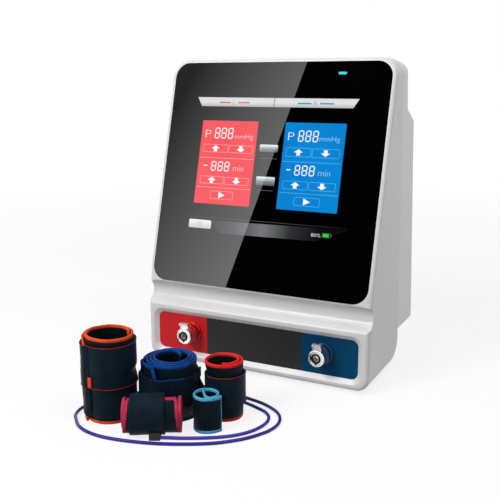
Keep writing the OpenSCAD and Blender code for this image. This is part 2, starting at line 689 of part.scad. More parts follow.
module foot_screws() {
  color(metal) at_feet() {
    translate([0, 0, foot_h - 1.4 - 1.8]) cylinder(d = 7.6, h = 1.8);
    translate([0, 0, foot_h - 1.4]) cylinder(d = 4, h = 9);
  }
}

// Rolled cuffs
// turns of a roll as points on its inner side, k counts turns and steps of a thirtieth
function roll(ri, k0, k1, a0, p = pitch) = [for (i = [round(k0 * 30):round(k1 * 30)]) let (k = i / 30, r = ri + p * k, a = a0 + 12 * i) r * [cos(a), sin(a)]];
// outward normal of a path at point i, to the right of its run
function nrm(p, i) = let (a = p[max(0, i - 1)], b = p[min(len(p) - 1, i + 1)], d = b - a) [d[1], -d[0]] / norm(d);
// closed outline of a strip that follows a path
function strip(p, t0, t1) = concat([for (i = [0:len(p) - 1]) p[i] + t0 * nrm(p, i)],
  [for (i = [len(p) - 1:-1:0]) p[i] + t1 * nrm(p, i)]);
module band(p, t0, t1, z0, z1) translate([0, 0, z0]) linear_extrude(z1 - z0) polygon(strip(p, t0, t1));
function part(p, i0, i1) = [for (i = [i0:i1]) p[i]];
bind_g = (bind_t - cloth_t) / 2;
module sleeve(p, h) band(part(p, 0, len(p) - 2), bind_g, bind_g + cloth_t, bind_h, h - bind_h);
module binding(p, h) {
  band(part(p, 0, len(p) - 2), 0, bind_t, 0, bind_h);
  band(part(p, 0, len(p) - 2), 0, bind_t, h - bind_h, h);
  band(part(p, len(p) - 2, len(p) - 1), 0, bind_t, 0, h);
}
// air nipple on a flange that lies on the cloth, t is the outer face of the cloth
module nipple(p, i, z, reach, t = bind_g + cloth_t) {
  m = (p[i] + p[i + 1]) / 2;
  n = nrm(part(p, i, i + 1), 0);
  band(part(p, i - 1, i + 2), t, t + 1.4, z - 6, z + 6);
  translate([m[0], m[1], z]) rotate([0, 90, atan2(n[1], n[0])]) translate([0, 0, t + 0.7]) rotate_extrude()
    polygon([[0, 0], [nipple_d / 2 + 1, 0], [nipple_d / 2, 2], [nipple_d / 2, reach - 2], [nipple_d / 2 + 0.5, reach - 2],
      [nipple_d / 2 - 0.7, reach], [0, reach]]);
}

orange_at = [-92.8, -183];
orange_k = 1.6;
orange_a = -696;
orange_path = roll(orange_ri, 0, orange_k, orange_a);
orange_tie = roll(orange_ri + bind_t - pitch, orange_k + 0.034, orange_k + 1.07, orange_a);
strap_z = [42, 91];
tie_end = part(orange_tie, len(orange_tie) - 2, len(orange_tie) - 1);
module orange_place() place() translate([orange_at[0], orange_at[1], 0]) children();
module orange_cuff() orange_place() color(cloth) sleeve(orange_path, orange_h);
module orange_binding() orange_place() color([1, 0.42, 0.22]) {
  binding(orange_path, orange_h);
  band(tie_end, 0.3, strap_t + 0.9, strap_z[0] + 1, strap_z[0] + 13);
}
module orange_strap() orange_place() color(cloth) difference() {
  union() {
    band(orange_tie, 0.4, 0.4 + strap_t, strap_z[0], strap_z[1]);
    band(orange_tie, 0.4, 0.4 + strap_t * 0.6, 8, strap_z[0] + 1);
  }
  translate([0, 0, strap_z[0] + 0.7]) linear_extrude(12.6) polygon(strip(tie_end, -1, strap_t + 2));
  // window over the air nipple
  rotate([0, 0, orange_a + 35.5 * 12]) translate([20, -11, 11]) cube([30, 22, 18]);
}
module orange_port() orange_place() color(rubber) nipple(orange_path, 35, 20, 10);

blue_at = [-31.4, -144.2];
// a loose inner end, three turns, then the last turn stands off at a corner and ends at the front
blue_path = concat([[6, 9], [1.5, 12.8], [-4, 15.4], [-9, 16]], roll(blue_ri, 0, 3.233, 130),
  [[-26.9, -20], [-25.2, -23.2], [-15.8, -28.8], [-6, -32.8], [-4, -33.2]]);
blue_tie = concat(roll(blue_ri + bind_t, 2.7, 3.2, 130), [[-30.3, -20.6], [-27.7, -26], [-17.4, -31.9], [-7.2, -36.4],
  [-2, -37], [4, -35.6], [9, -33]], [for (a = [298:12:370]) (32.2 + (a - 298) * 0.014) * [cos(a), sin(a)]],
  [for (a = [379:7:393]) (35 + (a - 379) * 0.03) * [cos(a), sin(a)]]);
module blue_place() place() translate([blue_at[0], blue_at[1], 0]) children();
module blue_cuff() blue_place() color(cloth) sleeve(blue_path, blue_h);
module blue_binding() blue_place() color([0.06, 0.25, 0.62]) {
  binding(blue_path, blue_h);
  band(part(blue_tie, len(blue_tie) - 2, len(blue_tie) - 1), 0.2, strap_t + 0.9, 43, 55);
}
module blue_strap() blue_place() color(cloth) band(part(blue_tie, 0, len(blue_tie) - 2), 0.4, 0.4 + strap_t, 18.5, 53);
module blue_port() blue_place() color(rubber) nipple(blue_path, 81, 12, 9);

red_at = [26.6, -124.6];
red_k = 1.6;
red_a = -71;
red_path = roll(red_ri, 0, red_k, red_a);
red_tie = roll(red_ri + bind_t - pitch, red_k + 0.034, red_k + 1.04, red_a);
module red_place() place() translate([red_at[0], red_at[1], 0]) children();
module red_cuff() red_place() color(cloth) sleeve(red_path, red_h);
module red_binding() red_place() color([0.96, 0.24, 0.2]) binding(red_path, red_h);
module red_strap() red_place() color(cloth) band(red_tie, 0.4, 0.4 + strap_t, 18.5, 53);
module red_port() red_place() color(rubber) nipple(red_path, 41, 12, 9);

cyan_at = [26.4, -164.6];
// the inner end crosses the opening, the outer end flares away from the roll
cyan_path = concat([[-7.4, 6.7], [-4.2, 2.9], [-1.2, -0.9], [1.6, -4.1], [4.6, -6.8]], roll(cyan_ri, 0, 1, -45, 3),
  [for (a = [-36:8:4]) (cyan_ri + 3.1 + pow((a + 44) / 48, 2) * 2.6) * [cos(a), sin(a)]]);
module cyan_place() place() translate([cyan_at[0], cyan_at[1], 0]) children();
module cyan_cuff() cyan_place() color(cloth) band(part(cyan_path, 0, len(cyan_path) - 2), 0.15, thin_t - 0.15, bind_h, cyan_h - bind_h);
module cyan_binding() cyan_place() color([0.36, 0.75, 0.9]) {
  band(part(cyan_path, 0, len(cyan_path) - 2), 0, thin_t, 0, bind_h);
  band(part(cyan_path, 0, len(cyan_path) - 2), 0, thin_t, cyan_h - bind_h, cyan_h);
  band(part(cyan_path, len(cyan_path) - 2, len(cyan_path) - 1), 0, thin_t, 0, cyan_h);
}
thin_t = 2.6;
module cyan_port() cyan_place() color(rubber) nipple(cyan_path, 25, 21, 5, thin_t - 0.15);

pink_at = [-19.9, -203.6];
pink_turn = 29;
pink_k = 1.6;
function tall(p) = [for (q = p) [q[0] * 0.96, q[1] * 1.04]];
pink_path = tall(roll(pink_ri, 0, pink_k, 190));
pink_tie = tall(roll(pink_ri + bind_t - pitch, pink_k + 0.034, pink_k + 1.04, 190));
pink_r = 21.65;
// lays the roll on its side, its own z runs along the axis of the roll
module pink_place() place() translate([pink_at[0], pink_at[1], pink_r]) rotate([0, 0, pink_turn]) rotate([90, 0, 90]) children();
module above_table() translate([-300, -500, 0]) cube([600, 500, 200]);
module pink_cuff() color(cloth) difference() {
  intersection() {
    pink_place() translate([0, 0, -pink_h / 2]) sleeve(pink_path, pink_h);
    above_table();
  }
  pink_block(0.3);
}
module pink_binding() color([0.85, 0.27, 0.4]) intersection() {
  pink_place() translate([0, 0, -pink_h / 2]) binding(pink_path, pink_h);
  above_table();
}
module pink_strap() color(cloth) difference() {
  intersection() {
    pink_place() band(pink_tie, 0.4, 0.4 + strap_t, -24, 14);
    above_table();
  }
  pink_block(0.3);
}
port_at = [-11, -212.4];
port_turn = 25;
module pink_block(g) place() translate([port_at[0], port_at[1], 0]) rotate([0, 0, port_turn])
  translate([-6 - g, -5.5 - g, -1]) cube([12 + 2 * g, 10 + 2 * g, 10 + g]);
module pink_port() color(rubber) difference() {
  intersection() {
    pink_block(0);
    above_table();
  }
  place() translate([hose_exit[0], hose_exit[1], hose_exit[2]]) rotate([0, 0, port_turn]) rotate([0, 90, 0]) translate([0, 0, -9]) cylinder(d = 2.4, h = 11);
}

// Cuff hose
// points of the hose as it lies, from the pink cuff to the plug
hose_exit = [port_at[0] + 6 * cos(port_turn) + 3 * sin(port_turn), port_at[1] + 6 * sin(port_turn) - 3 * cos(port_turn), 2.8];
hose_pts = [hose_exit, [4, -208.5, 2.6], [15, -203.2, 2.2], [27, -196.9, 2.1], [40, -189.5, 2.1], [54, -180, 2.1],
  [66, -168.5, 2.1], [75, -155, 2.1], [80, -140, 2.1], [81, -125, 2.1], [77, -112, 2.1], [68, -102, 2.1], [56, -96, 2.1],
  [42, -90.5, 2.1], [26, -86, 2.1], [6, -84, 2.1], [-16, -85, 2.1], [-40, -90, 2.1], [-63, -99, 2.1], [-85, -111.5, 2.1],
  [-104, -128, 2.1], [-119, -148, 2.1], [-128, -170, 2.1], [-129.9, -188.8, 2.1], [-124.8, -205.2, 2.1], [-114.4, -217.2, 2.1],
  [-102, -228, 2.1], [-86, -235, 2.1], [-66, -238, 2.1], [-46, -236.5, 2.1], [-26, -232.5, 2.1], [-8, -227.5, 2.1],
  [8, -221.5, 2.1], [24, -214, 2.1], [39, -206, 2.1], [53, -197, 2.1], [66, -185.5, 2.1], [78, -172, 2.1], [87, -157, 2.1],
  [93, -142, 2.1], [94.5, -126, 2.1], [90.5, -110.5, 2.1], [81, -97, 2.1], [67, -87, 2.1], [53, -80.5, 2.1], [38, -76.5, 2.1],
  [20, -73, 2.1], [2, -71.5, 2.1], [-15, -72.2, 2.7], [-30, -73, 5], [-44, -73, 6]];
// smooth curve through the points, two rings in every second step
function cr(a, b, c, d, t) = 0.5 * (2 * b + (c - a) * t + (2 * a - 5 * b + 4 * c - d) * t * t + (3 * b - a - 3 * c + d) * t * t * t);
function pt(i) = hose_pts[min(max(i, 0), len(hose_pts) - 1)];
hose_line = [for (i = [0:len(hose_pts) - 2], s = [0:(i % 2 == 0 ? 0.5 : 1):0.9]) cr(pt(i - 1), pt(i), pt(i + 1), pt(i + 2), s)];
hose_c = concat(hose_line, [pt(len(hose_pts) - 1)]);
hose_sides = 8;
function side_of(d) = let (u = cross(d, [0, 0, 1])) u / norm(u);
module tube(c, d) {
  n = len(c);
  first = c[1] - c[0];
  last = c[n - 1] - c[n - 2];
  pts = [for (i = [0:n - 1]) let (t = i == 0 ? [cos(port_turn), sin(port_turn), 0] : i == n - 1 ? [-1, 0, 0] : c[i + 1] - c[i - 1], u = side_of(t), w = cross(u, t) / norm(t))
    for (j = [0:hose_sides - 1]) c[i] + d / 2 * (cos(360 / hose_sides * (j + 0.5)) * u + sin(360 / hose_sides * (j + 0.5)) * w) / cos(180 / hose_sides) * 0.98];
  faces = concat([[for (j = [hose_sides - 1:-1:0]) j]], [[for (j = [0:hose_sides - 1]) (n - 1) * hose_sides + j]],
    [for (i = [0:n - 2], j = [0:hose_sides - 1]) let (k = (j + 1) % hose_sides) [i * hose_sides + j, (i + 1) * hose_sides + k, (i + 1) * hose_sides + j]],
    [for (i = [0:n - 2], j = [0:hose_sides - 1]) let (k = (j + 1) % hose_sides) [i * hose_sides + j, i * hose_sides + k, (i + 1) * hose_sides + k]]);
  polyhedron(pts, faces);
}
module cuff_hose() place() color([0.1, 0.1, 0.55]) tube(hose_c, hose_d);
plug_at = hose_pts[len(hose_pts) - 1];
module hose_plug() place() color(metal) translate(plug_at) rotate([0, -90, 0]) difference() {
  rotate_extrude() polygon([[0, 0], [3.4, 0], [3.4, 1], [4.8, 3], [4.8, 9], [5.8, 10], [5.8, grip_l], [pin_d / 2, grip_l],
    [pin_d / 2, grip_l + lock_z - 0.2], [pin_d / 2 - 0.9, grip_l + lock_z + 0.1], [pin_d / 2 - 0.9, grip_l + lock_z + latch_t + 0.2],
    [pin_d / 2, grip_l + lock_z + latch_t + 0.5], [pin_d / 2, grip_l + pin_l], [2.5, grip_l + pin_l], [2.5, grip_l + pin_l + 2.4],
    [2, grip_l + pin_l + 3], [0, grip_l + pin_l + 3]]);
  translate([0, 0, 4]) cylinder(d = 2.4, h = 40);
}
grip_l = 13;
lock_z = port_out - latch_z - latch_t;
// least gap of the hose to itself
hose_gap = min([for (i = [0:len(hose_c) - 1], j = [i + 6:1:len(hose_c) - 1]) norm(hose_c[i] - hose_c[j])]) - hose_d;
echo(hose_gap = hose_gap);
echo(hose_length = hose_sum(0));
function hose_sum(i) = i >= len(hose_c) - 1 ? 0 : norm(hose_c[i + 1] - hose_c[i]) + hose_sum(i + 1);

front_housing();
rear_cover();
cover_screws();
glass_panel();
display_module();
status_lamp();
control_board();
left_port_plate();
centre_plate();
right_port_plate();
left_collar();
right_collar();
left_coupling();
right_coupling();
left_latch();
right_latch();
left_poppet();
right_poppet();
coupling_nuts();
left_air_tube();
right_air_tube();
valve_manifold();
solenoid_valves();
air_pumps();
pump_motors();
battery_pack();
power_supply();
chassis_plate();
mains_inlet();
fuse_drawer();
power_rocker();
rubber_feet();
foot_screws();
orange_cuff();
orange_binding();
orange_strap();
orange_port();
blue_cuff();
blue_binding();
blue_strap();
blue_port();
red_cuff();
red_binding();
red_strap();
red_port();
cyan_cuff();
cyan_binding();
cyan_port();
pink_cuff();
pink_binding();
pink_strap();
pink_port();
cuff_hose();
hose_plug();
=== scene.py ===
# %% [markdown]
# # Pneumatic tourniquet system
# The object is a table-top inflator with a touch screen, two thumb-latch air couplings and five rolled limb
# cuffs, one of which carries a blue air hose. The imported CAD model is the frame: every piece below is placed
# by its numbers, in metres, so nothing has to be fitted by eye.
#
# A solid that is rigid keeps its own mesh and gets a finish. Cloth, edge tape, straps and the hose are made
# anew, because a CAD solid can only give them a stiff, even shape.

# %% Load the frame
import math

import bmesh
import bpy
import numpy as np
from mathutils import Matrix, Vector, noise


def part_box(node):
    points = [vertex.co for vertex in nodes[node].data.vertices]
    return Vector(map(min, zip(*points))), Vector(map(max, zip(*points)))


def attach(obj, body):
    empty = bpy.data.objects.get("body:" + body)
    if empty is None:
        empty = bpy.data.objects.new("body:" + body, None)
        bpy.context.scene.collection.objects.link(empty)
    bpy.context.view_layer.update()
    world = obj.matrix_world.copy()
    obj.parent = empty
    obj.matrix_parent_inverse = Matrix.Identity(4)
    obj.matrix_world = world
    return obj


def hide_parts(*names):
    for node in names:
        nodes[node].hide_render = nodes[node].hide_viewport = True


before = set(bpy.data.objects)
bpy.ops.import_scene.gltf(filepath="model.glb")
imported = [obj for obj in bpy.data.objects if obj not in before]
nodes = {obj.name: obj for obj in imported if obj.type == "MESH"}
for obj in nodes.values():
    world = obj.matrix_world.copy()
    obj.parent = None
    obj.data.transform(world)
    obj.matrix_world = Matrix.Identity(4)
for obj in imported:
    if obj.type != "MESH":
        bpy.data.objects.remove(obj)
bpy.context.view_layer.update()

scene = bpy.context.scene

# %% [markdown]
# ## Camera
# The photograph looks at the console from its right front and a little from above. The four corners of the
# glass and the feet gave the viewpoint: with their real sizes known, only one place fits their eight picture
# points. A normal 55 mm lens on a 36 mm wide sensor gives the same mild convergence of the vertical edges.

# %% Camera
lens_mm, sensor_mm = 55, 36
camera_at = (0.4233, -0.8306, 0.3746)
looks_down, looks_round = 12.287, 26.714
camera_data = bpy.data.cameras.new("photo_camera")
camera_data.lens, camera_data.sensor_width = lens_mm, sensor_mm
camera_data.clip_start, camera_data.clip_end = 0.02, 60
camera = bpy.data.objects.new("photo_camera", camera_data)
camera.location = camera_at
camera.rotation_euler = (math.radians(90 - looks_down), 0, math.radians(looks_round))
scene.collection.objects.link(camera)
scene.camera = camera
scene.view_settings.view_transform = "Standard"
print("camera", [round(x, 4) for x in camera.location], "lens", lens_mm, "mm")

# %% [markdown]
# ## Node trees in few words
# Finishes and grown pieces both come from node trees, so a few small helpers save most of the typing. They
# add a node and fill its inputs, give the nodes that come back in every finish (noise, colour ramp, bump) a
# short name, and turn a colour as seen on a screen (0 to 255) into the linear numbers that a renderer works
# in.

# %% Helpers for node trees
def linear(r, g, b):
    """A screen colour as linear red, green, blue and alpha."""
    shares = (r / 255, g / 255, b / 255)
    return tuple(c / 12.92 if c <= 0.04045 else ((c + 0.055) / 1.055) ** 2.4 for c in shares) + (1.0,)


def plug(socket, value):
    """Gives an input its value, or a link where the value is another node's output."""
    if isinstance(value, bpy.types.NodeSocket):
        socket.id_data.links.new(value, socket)
    else:
        socket.default_value = value


def add(tree, kind, settings=None, **values):
    """A node of that kind: settings are its own properties, values go to its input sockets by name."""
    node = tree.nodes.new(kind)
    for key, value in (settings or {}).items():
        setattr(node, key, value)
    for key, value in values.items():
        plug(node.inputs[key.replace("_", " ")], value)
    return node


def in_order(tree, kind, settings, *values):
    """A node whose inputs share a name, so the values go to them in their order."""
    node = add(tree, kind, settings)
    for socket, value in zip(node.inputs, values):
        plug(socket, value)
    return node


def calculate(tree, operation, *values):
    """A number worked out from numbers."""
    return in_order(tree, "ShaderNodeMath", {"operation": operation}, *values).outputs[0]


def measure(tree, operation, *values):
    """A number worked out from vectors."""
    return in_order(tree, "ShaderNodeVectorMath", {"operation": operation}, *values).outputs["Value"]


def remap(tree, value, source, target=(0, 1), kind="LINEAR"):
    """A number carried over from one range to another."""
    return add(tree, "ShaderNodeMapRange", {"interpolation_type": kind}, Value=value, From_Min=source[0],
        From_Max=source[1], To_Min=target[0], To_Max=target[1]).outputs["Result"]


def speckle(tree, place, scale, detail, **more):
    """Soft noise between 0 and 1."""
    return add(tree, "ShaderNodeTexNoise", Vector=place, Scale=scale, Detail=detail, **more).outputs["Fac"]


def shades(tree, factor, *stops):
    """A colour that runs through (place, screen colour) stops as the factor grows."""
    node = add(tree, "ShaderNodeValToRGB", Fac=factor)
    elements = node.color_ramp.elements
    for _ in stops[2:]:
        elements.new(1.0)
    for element, (spot, shade) in zip(elements, stops):
        element.position, element.color = spot, linear(*shade)
    return node.outputs["Color"]


def relief(tree, height, strength, depth, **more):
    """A normal tilted by a height."""
    return add(tree, "ShaderNodeBump", Height=height, Strength=strength, Distance=depth,
        **more).outputs["Normal"]


def blank(name):
    """A new material, its empty tree and the Object coordinates in it."""
    material = bpy.data.materials.new(name)
    material.use_nodes = True
    tree = material.node_tree
    tree.nodes.clear()
    return material, tree, add(tree, "ShaderNodeTexCoord").outputs["Object"]


def surface(tree, **values):
    """One Principled shader with these inputs, as what the tree shows."""
    shader = add(tree, "ShaderNodeBsdfPrincipled", **values)
    add(tree, "ShaderNodeOutputMaterial", Surface=shader.outputs["BSDF"])


def new_piece(name, data, *materials):
    """An object of a mesh or lamp, linked to the scene."""
    for material in materials:
        data.materials.append(material)
    piece = bpy.data.objects.new(name, data)
    scene.collection.objects.link(piece)
    return piece


print("white paper is", [round(c, 3) for c in linear(238, 239, 240)])

# %% [markdown]
# ## Finishes
# A moulded, painted or plated surface is never one flat colour. Each finish here has two close colours mixed
# by broad clouds, a roughness that wanders, and a fine bump for the grain of the mould or the brush. Only
# the numbers differ between white plastic, rubber and chrome. All of them read Object coordinates, which on
# this model are real metres, so a grain of half a millimetre is the same on every piece.

# %% Finish maker
def finish(name, colour, shade, cloud=18, rough=(0.35, 0.5), grain=900, bump=0.1, stretch=(1, 1, 1),
        depth=0.0002, **fixed):
    """A material of two colours, wandering roughness and a fine grain; fixed goes to the shader itself."""
    material, tree, place = blank(name)
    stretched = add(tree, "ShaderNodeMapping", Vector=place, Scale=stretch).outputs["Vector"]
    clouds = speckle(tree, place, cloud, 4.0, Roughness=0.55)
    fine = speckle(tree, stretched, grain, 3.0, Roughness=0.6)
    hue = shades(tree, clouds, (0.32, shade), (0.68, colour))
    gloss = remap(tree, calculate(tree, "MULTIPLY_ADD", fine, 0.4, clouds), (0.4, 1.0), rough)
    surface(tree, Base_Color=hue, Roughness=gloss, Normal=relief(tree, fine, bump, depth), **fixed)
    return material


housing = finish("housing_plastic", (238, 238, 238), (232, 232, 233), 9, (0.24, 0.34), 1500, 0.1)
# The rear cover is the same white plastic as the front housing; its lighter colour is painted light, standing
# for the brighter light on the cover's side.
cover = finish("cover_plastic_painted_light", (252, 252, 252), (247, 247, 248), 9, (0.26, 0.36), 1500, 0.1)
glass = finish("screen_glass", (3, 3, 4), (1, 1, 1), 6, (0.006, 0.014), 300, 0.0, Specular_IOR_Level=0.5)
red_paint = finish("red_plate", (230, 38, 44), (214, 30, 38), 12, (0.4, 0.5), 1400, 0.1,
    Specular_IOR_Level=0.22)
dark_paint = finish("dark_plate", (40, 40, 42), (30, 30, 32), 12, (0.4, 0.52), 1400, 0.1,
    Specular_IOR_Level=0.3)
blue_paint = finish("blue_plate", (0, 72, 112), (0, 60, 98), 12, (0.4, 0.5), 1400, 0.1,
    Specular_IOR_Level=0.1)
collar_grain = ((0.18, 0.28), 2200, 0.06)
collar_coat = {"Specular_IOR_Level": 0.3, "Coat_Weight": 0.12, "Coat_Roughness": 0.08}
red_gloss = finish("red_collar", (206, 10, 18), (170, 4, 12), 40, *collar_grain, **collar_coat)
blue_gloss = finish("blue_collar", (0, 52, 92), (0, 34, 70), 40, *collar_grain, **collar_coat)
chrome = finish("chrome", (250, 249, 246), (232, 231, 228), 60, (0.1, 0.22), 1800, 0.05, Metallic=1.0)
steel = finish("steel", (178, 180, 184), (150, 153, 158), 50, (0.26, 0.42), 900, 0.12, (1, 1, 12),
    Metallic=1.0)
aluminium = finish("aluminium", (198, 200, 204), (180, 183, 188), 30, (0.32, 0.46), 700, 0.15, (14, 1, 1),
    Metallic=1.0)
ivory = finish("valve_plastic", (222, 217, 203), (204, 198, 182), 30, (0.4, 0.52), 1600, 0.1)
clear_tube = finish("inner_tube", (214, 219, 225), (194, 200, 208), 30, (0.25, 0.36), 900, 0.06,
    Subsurface_Weight=0.2, Subsurface_Scale=0.004)
black_plastic = finish("black_plastic", (38, 39, 42), (27, 28, 30), 24, (0.38, 0.55), 1500, 0.16)
rubber = finish("black_rubber", (33, 34, 37), (22, 23, 25), 30, (0.55, 0.75), 1200, 0.25)
wrap_film = finish("battery_wrap", (44, 84, 128), (34, 66, 104), 24, (0.22, 0.34), 800, 0.08)
circuit = finish("circuit_board", (26, 96, 58), (18, 74, 44), 40, (0.3, 0.45), 1100, 0.12)
print("finishes:", len(bpy.data.materials))

# %% [markdown]
# ## The rigid solids
# The console's shells, plates, couplings and inner parts are right as they come from the CAD model. A node's
# mesh isn't touched: the finish goes into its material slots. The list says which node wears which finish.

# %% Dress the rigid solids
dress = {
    housing: ["front_housing"], cover: ["rear_cover"], glass: ["glass_panel"],
    red_paint: ["left_port_plate"], dark_paint: ["centre_plate"], blue_paint: ["right_port_plate"],
    red_gloss: ["left_collar"], blue_gloss: ["right_collar"],
    chrome: ["left_coupling", "right_coupling", "left_latch", "right_latch", "hose_plug"],
    steel: ["cover_screws", "coupling_nuts", "pump_motors", "foot_screws"],
    aluminium: ["valve_manifold", "chassis_plate", "power_supply"],
    ivory: ["left_poppet", "right_poppet"], clear_tube: ["left_air_tube", "right_air_tube"],
    black_plastic: ["display_module", "solenoid_valves", "air_pumps", "mains_inlet", "fuse_drawer",
        "power_rocker"],
    rubber: ["rubber_feet", "orange_port", "blue_port", "red_port", "cyan_port", "pink_port"],
    wrap_film: ["battery_pack"], circuit: ["control_board"],
}


def wear(piece, material):
    """Puts one material in every slot of a piece."""
    if not piece.material_slots:
        piece.data.materials.append(material)
    for each in piece.material_slots:
        each.material = material


for material, names in dress.items():
    for name in names:
        wear(nodes[name], material)
print("dressed", sum(len(names) for names in dress.values()), "nodes")

# %% [markdown]
# ## Air hose
# The hose leaves the port block of the lying pink cuff, makes one wide loop round the five rolls and half of
# a second one, and ends in a plug behind them. It is 4 mm thick and a little under 0.9 m long. A simulated
# rope would lie somewhere else, so the route is given by points, those of the CAD model, and the hose lies
# where its collision shape lies. A smooth curve is drawn through them.

# %% Smooth lines
def smooth(points, per):
    """A Catmull-Rom curve through the points, with per steps in each stretch."""
    p = [np.array(q, float) for q in points]
    out = []
    for i in range(len(p) - 1):
        a, b, c, d = p[max(i - 1, 0)], p[i], p[i + 1], p[min(i + 2, len(p) - 1)]
        for k in range(per):
            t = k / per
            bend = (2 * a - 5 * b + 4 * c - d) * t * t
            out.append(0.5 * (2 * b + (c - a) * t + bend + (3 * b - a - 3 * c + d) * t ** 3))
    return np.array(out + [p[-1]])


def lengths(line):
    """How far along the line each of its points is."""
    return np.concatenate([[0], np.cumsum(np.linalg.norm(np.diff(line, axis=0), axis=1))])


front_y = 17
hose_mm = 4
hose_exit = (-4.294, -212.583, 2.8)
hose_points = [hose_exit, (4, -208.5, 2.6), (15, -203.2, 2.2), (27, -196.9, 2.1), (40, -189.5, 2.1),
    (54, -180, 2.1), (66, -168.5, 2.1), (75, -155, 2.1), (80, -140, 2.1), (81, -125, 2.1), (77, -112, 2.1),
    (68, -102, 2.1), (56, -96, 2.1), (42, -90.5, 2.1), (26, -86, 2.1), (6, -84, 2.1), (-16, -85, 2.1),
    (-40, -90, 2.1), (-63, -99, 2.1), (-85, -111.5, 2.1), (-104, -128, 2.1), (-119, -148, 2.1),
    (-128, -170, 2.1), (-129.9, -188.8, 2.1), (-124.8, -205.2, 2.1), (-114.4, -217.2, 2.1),
    (-102, -228, 2.1), (-86, -235, 2.1), (-66, -238, 2.1), (-46, -236.5, 2.1), (-26, -232.5, 2.1),
    (-8, -227.5, 2.1), (8, -221.5, 2.1), (24, -214, 2.1), (39, -206, 2.1), (53, -197, 2.1),
    (66, -185.5, 2.1), (78, -172, 2.1), (87, -157, 2.1), (93, -142, 2.1), (94.5, -126, 2.1),
    (90.5, -110.5, 2.1), (81, -97, 2.1), (67, -87, 2.1), (53, -80.5, 2.1), (38, -76.5, 2.1), (20, -73, 2.1),
    (2, -71.5, 2.1), (-15, -72.2, 2.7), (-30, -73, 5), (-44, -73, 6)]
hose_line = (smooth(hose_points, 6) + [0, front_y, 0]) / 1000
hose_length = float(lengths(hose_line)[-1])
print("hose", round(hose_length, 4), "m in", len(hose_line), "points")

# %% [markdown]
# ### A profile along a line
# A tube along a path is work for Geometry Nodes: the tree below draws a circle along any line it is given. A
# curve object with a bevel would do as well, but a tree can be used again with other sizes, and it is: the
# piping of the straps comes from the same one. Its result is turned into a plain mesh, which any program can
# read.

# %% A tree that draws a profile along a line
def new_tree(name, sockets):
    """A Geometry Nodes tree with a line coming in, the named sizes after it, and one piece going out."""
    tree = bpy.data.node_groups.new(name, "GeometryNodeTree")
    tree.interface.new_socket(name="Line", in_out="INPUT", socket_type="NodeSocketGeometry")
    for label, kind in sockets.items():
        tree.interface.new_socket(name=label, in_out="INPUT", socket_type="NodeSocket" + kind)
    tree.interface.new_socket(name="Piece", in_out="OUTPUT", socket_type="NodeSocketGeometry")
    return tree, add(tree, "NodeGroupInput").outputs


def finish_tree(tree, geometry, material):
    """Ends a tree: copies made real, material set."""
    real = add(tree, "GeometryNodeRealizeInstances", Geometry=geometry)
    dressed = add(tree, "GeometryNodeSetMaterial", Geometry=real.outputs["Geometry"], Material=material)
    add(tree, "NodeGroupOutput", Piece=dressed.outputs["Geometry"])
    return tree


def tube_tree():
    """A round tube along the line."""
    tree, given = new_tree("tube_along_line", {"Diameter": "Float", "Sides": "Int", "Material": "Material"})
    curve = add(tree, "GeometryNodeMeshToCurve", Mesh=given["Line"])
    radius = calculate(tree, "MULTIPLY", given["Diameter"], 0.5)
    ring = add(tree, "GeometryNodeCurvePrimitiveCircle", Resolution=given["Sides"], Radius=radius)
    skin = add(tree, "GeometryNodeCurveToMesh", Curve=curve.outputs["Curve"],
        Profile_Curve=ring.outputs["Curve"], Fill_Caps=True)
    round_off = add(tree, "GeometryNodeSetShadeSmooth", Geometry=skin.outputs["Mesh"])
    return finish_tree(tree, round_off.outputs["Geometry"], given["Material"])


def applied(piece):
    """What a piece's modifiers make of it, as a plain mesh."""
    depsgraph = bpy.context.evaluated_depsgraph_get()
    shown = piece.evaluated_get(depsgraph)
    return bpy.data.meshes.new_from_object(shown, preserve_all_data_layers=True, depsgraph=depsgraph)


def grow(name, tree, line, sizes, marks=None):
    """Runs a tree on a line of points, with marks kept on them, and returns a plain mesh piece."""
    mesh = bpy.data.meshes.new(name + "_line")
    mesh.from_pydata([tuple(p) for p in line], [(i, i + 1) for i in range(len(line) - 1)], [])
    for label, values in (marks or {}).items():
        mesh.attributes.new(label, "FLOAT", "POINT").data.foreach_set("value", np.array(values, np.float32))
    source = new_piece(name + "_line", mesh)
    modifier = source.modifiers.new("grow", "NODES")
    modifier.node_group = tree
    for item in tree.interface.items_tree:
        if item.in_out == "INPUT" and item.name in sizes:
            modifier[item.identifier] = sizes[item.name]
    made = applied(source)
    source.modifiers.clear()
    bpy.data.objects.remove(source)
    made.name = name
    return new_piece(name, made)


tube = tube_tree()
print("tube tree:", [s.name for s in tube.interface.items_tree])

# %% [markdown]
# ### Hose
# The real hose is soft, clear-coated and dyed, and its colour wanders between violet and blue along its
# length. The line carries a number that grows from 0 to 1 along it, the tree passes it on to the tube, and
# the finish reads its colour from that number.

# %% Hose finish
def hose_finish():
    """Soft glossy tube, a little milky: violet at the port block, then deep blue with violet once more."""
    material, tree, place = blank("hose_skin")
    along = add(tree, "ShaderNodeAttribute", {"attribute_name": "along"}).outputs["Fac"]
    clouds = speckle(tree, place, 40.0, 3.0)
    hue = shades(tree, calculate(tree, "MULTIPLY_ADD", clouds, 0.04, along), (0.02, (84, 58, 186)),
        (0.16, (58, 34, 178)), (0.3, (30, 26, 150)), (0.5, (16, 30, 146)), (0.75, (32, 20, 156)),
        (1.0, (14, 26, 134)))
    grain = relief(tree, speckle(tree, place, 1400.0, 2.0), 0.06, 0.0002)
    surface(tree, Base_Color=hue, Roughness=remap(tree, clouds, (0, 1), (0.16, 0.34)), Normal=grain,
        Specular_IOR_Level=0.3, Coat_Weight=0.15, Coat_Roughness=0.12)
    return material


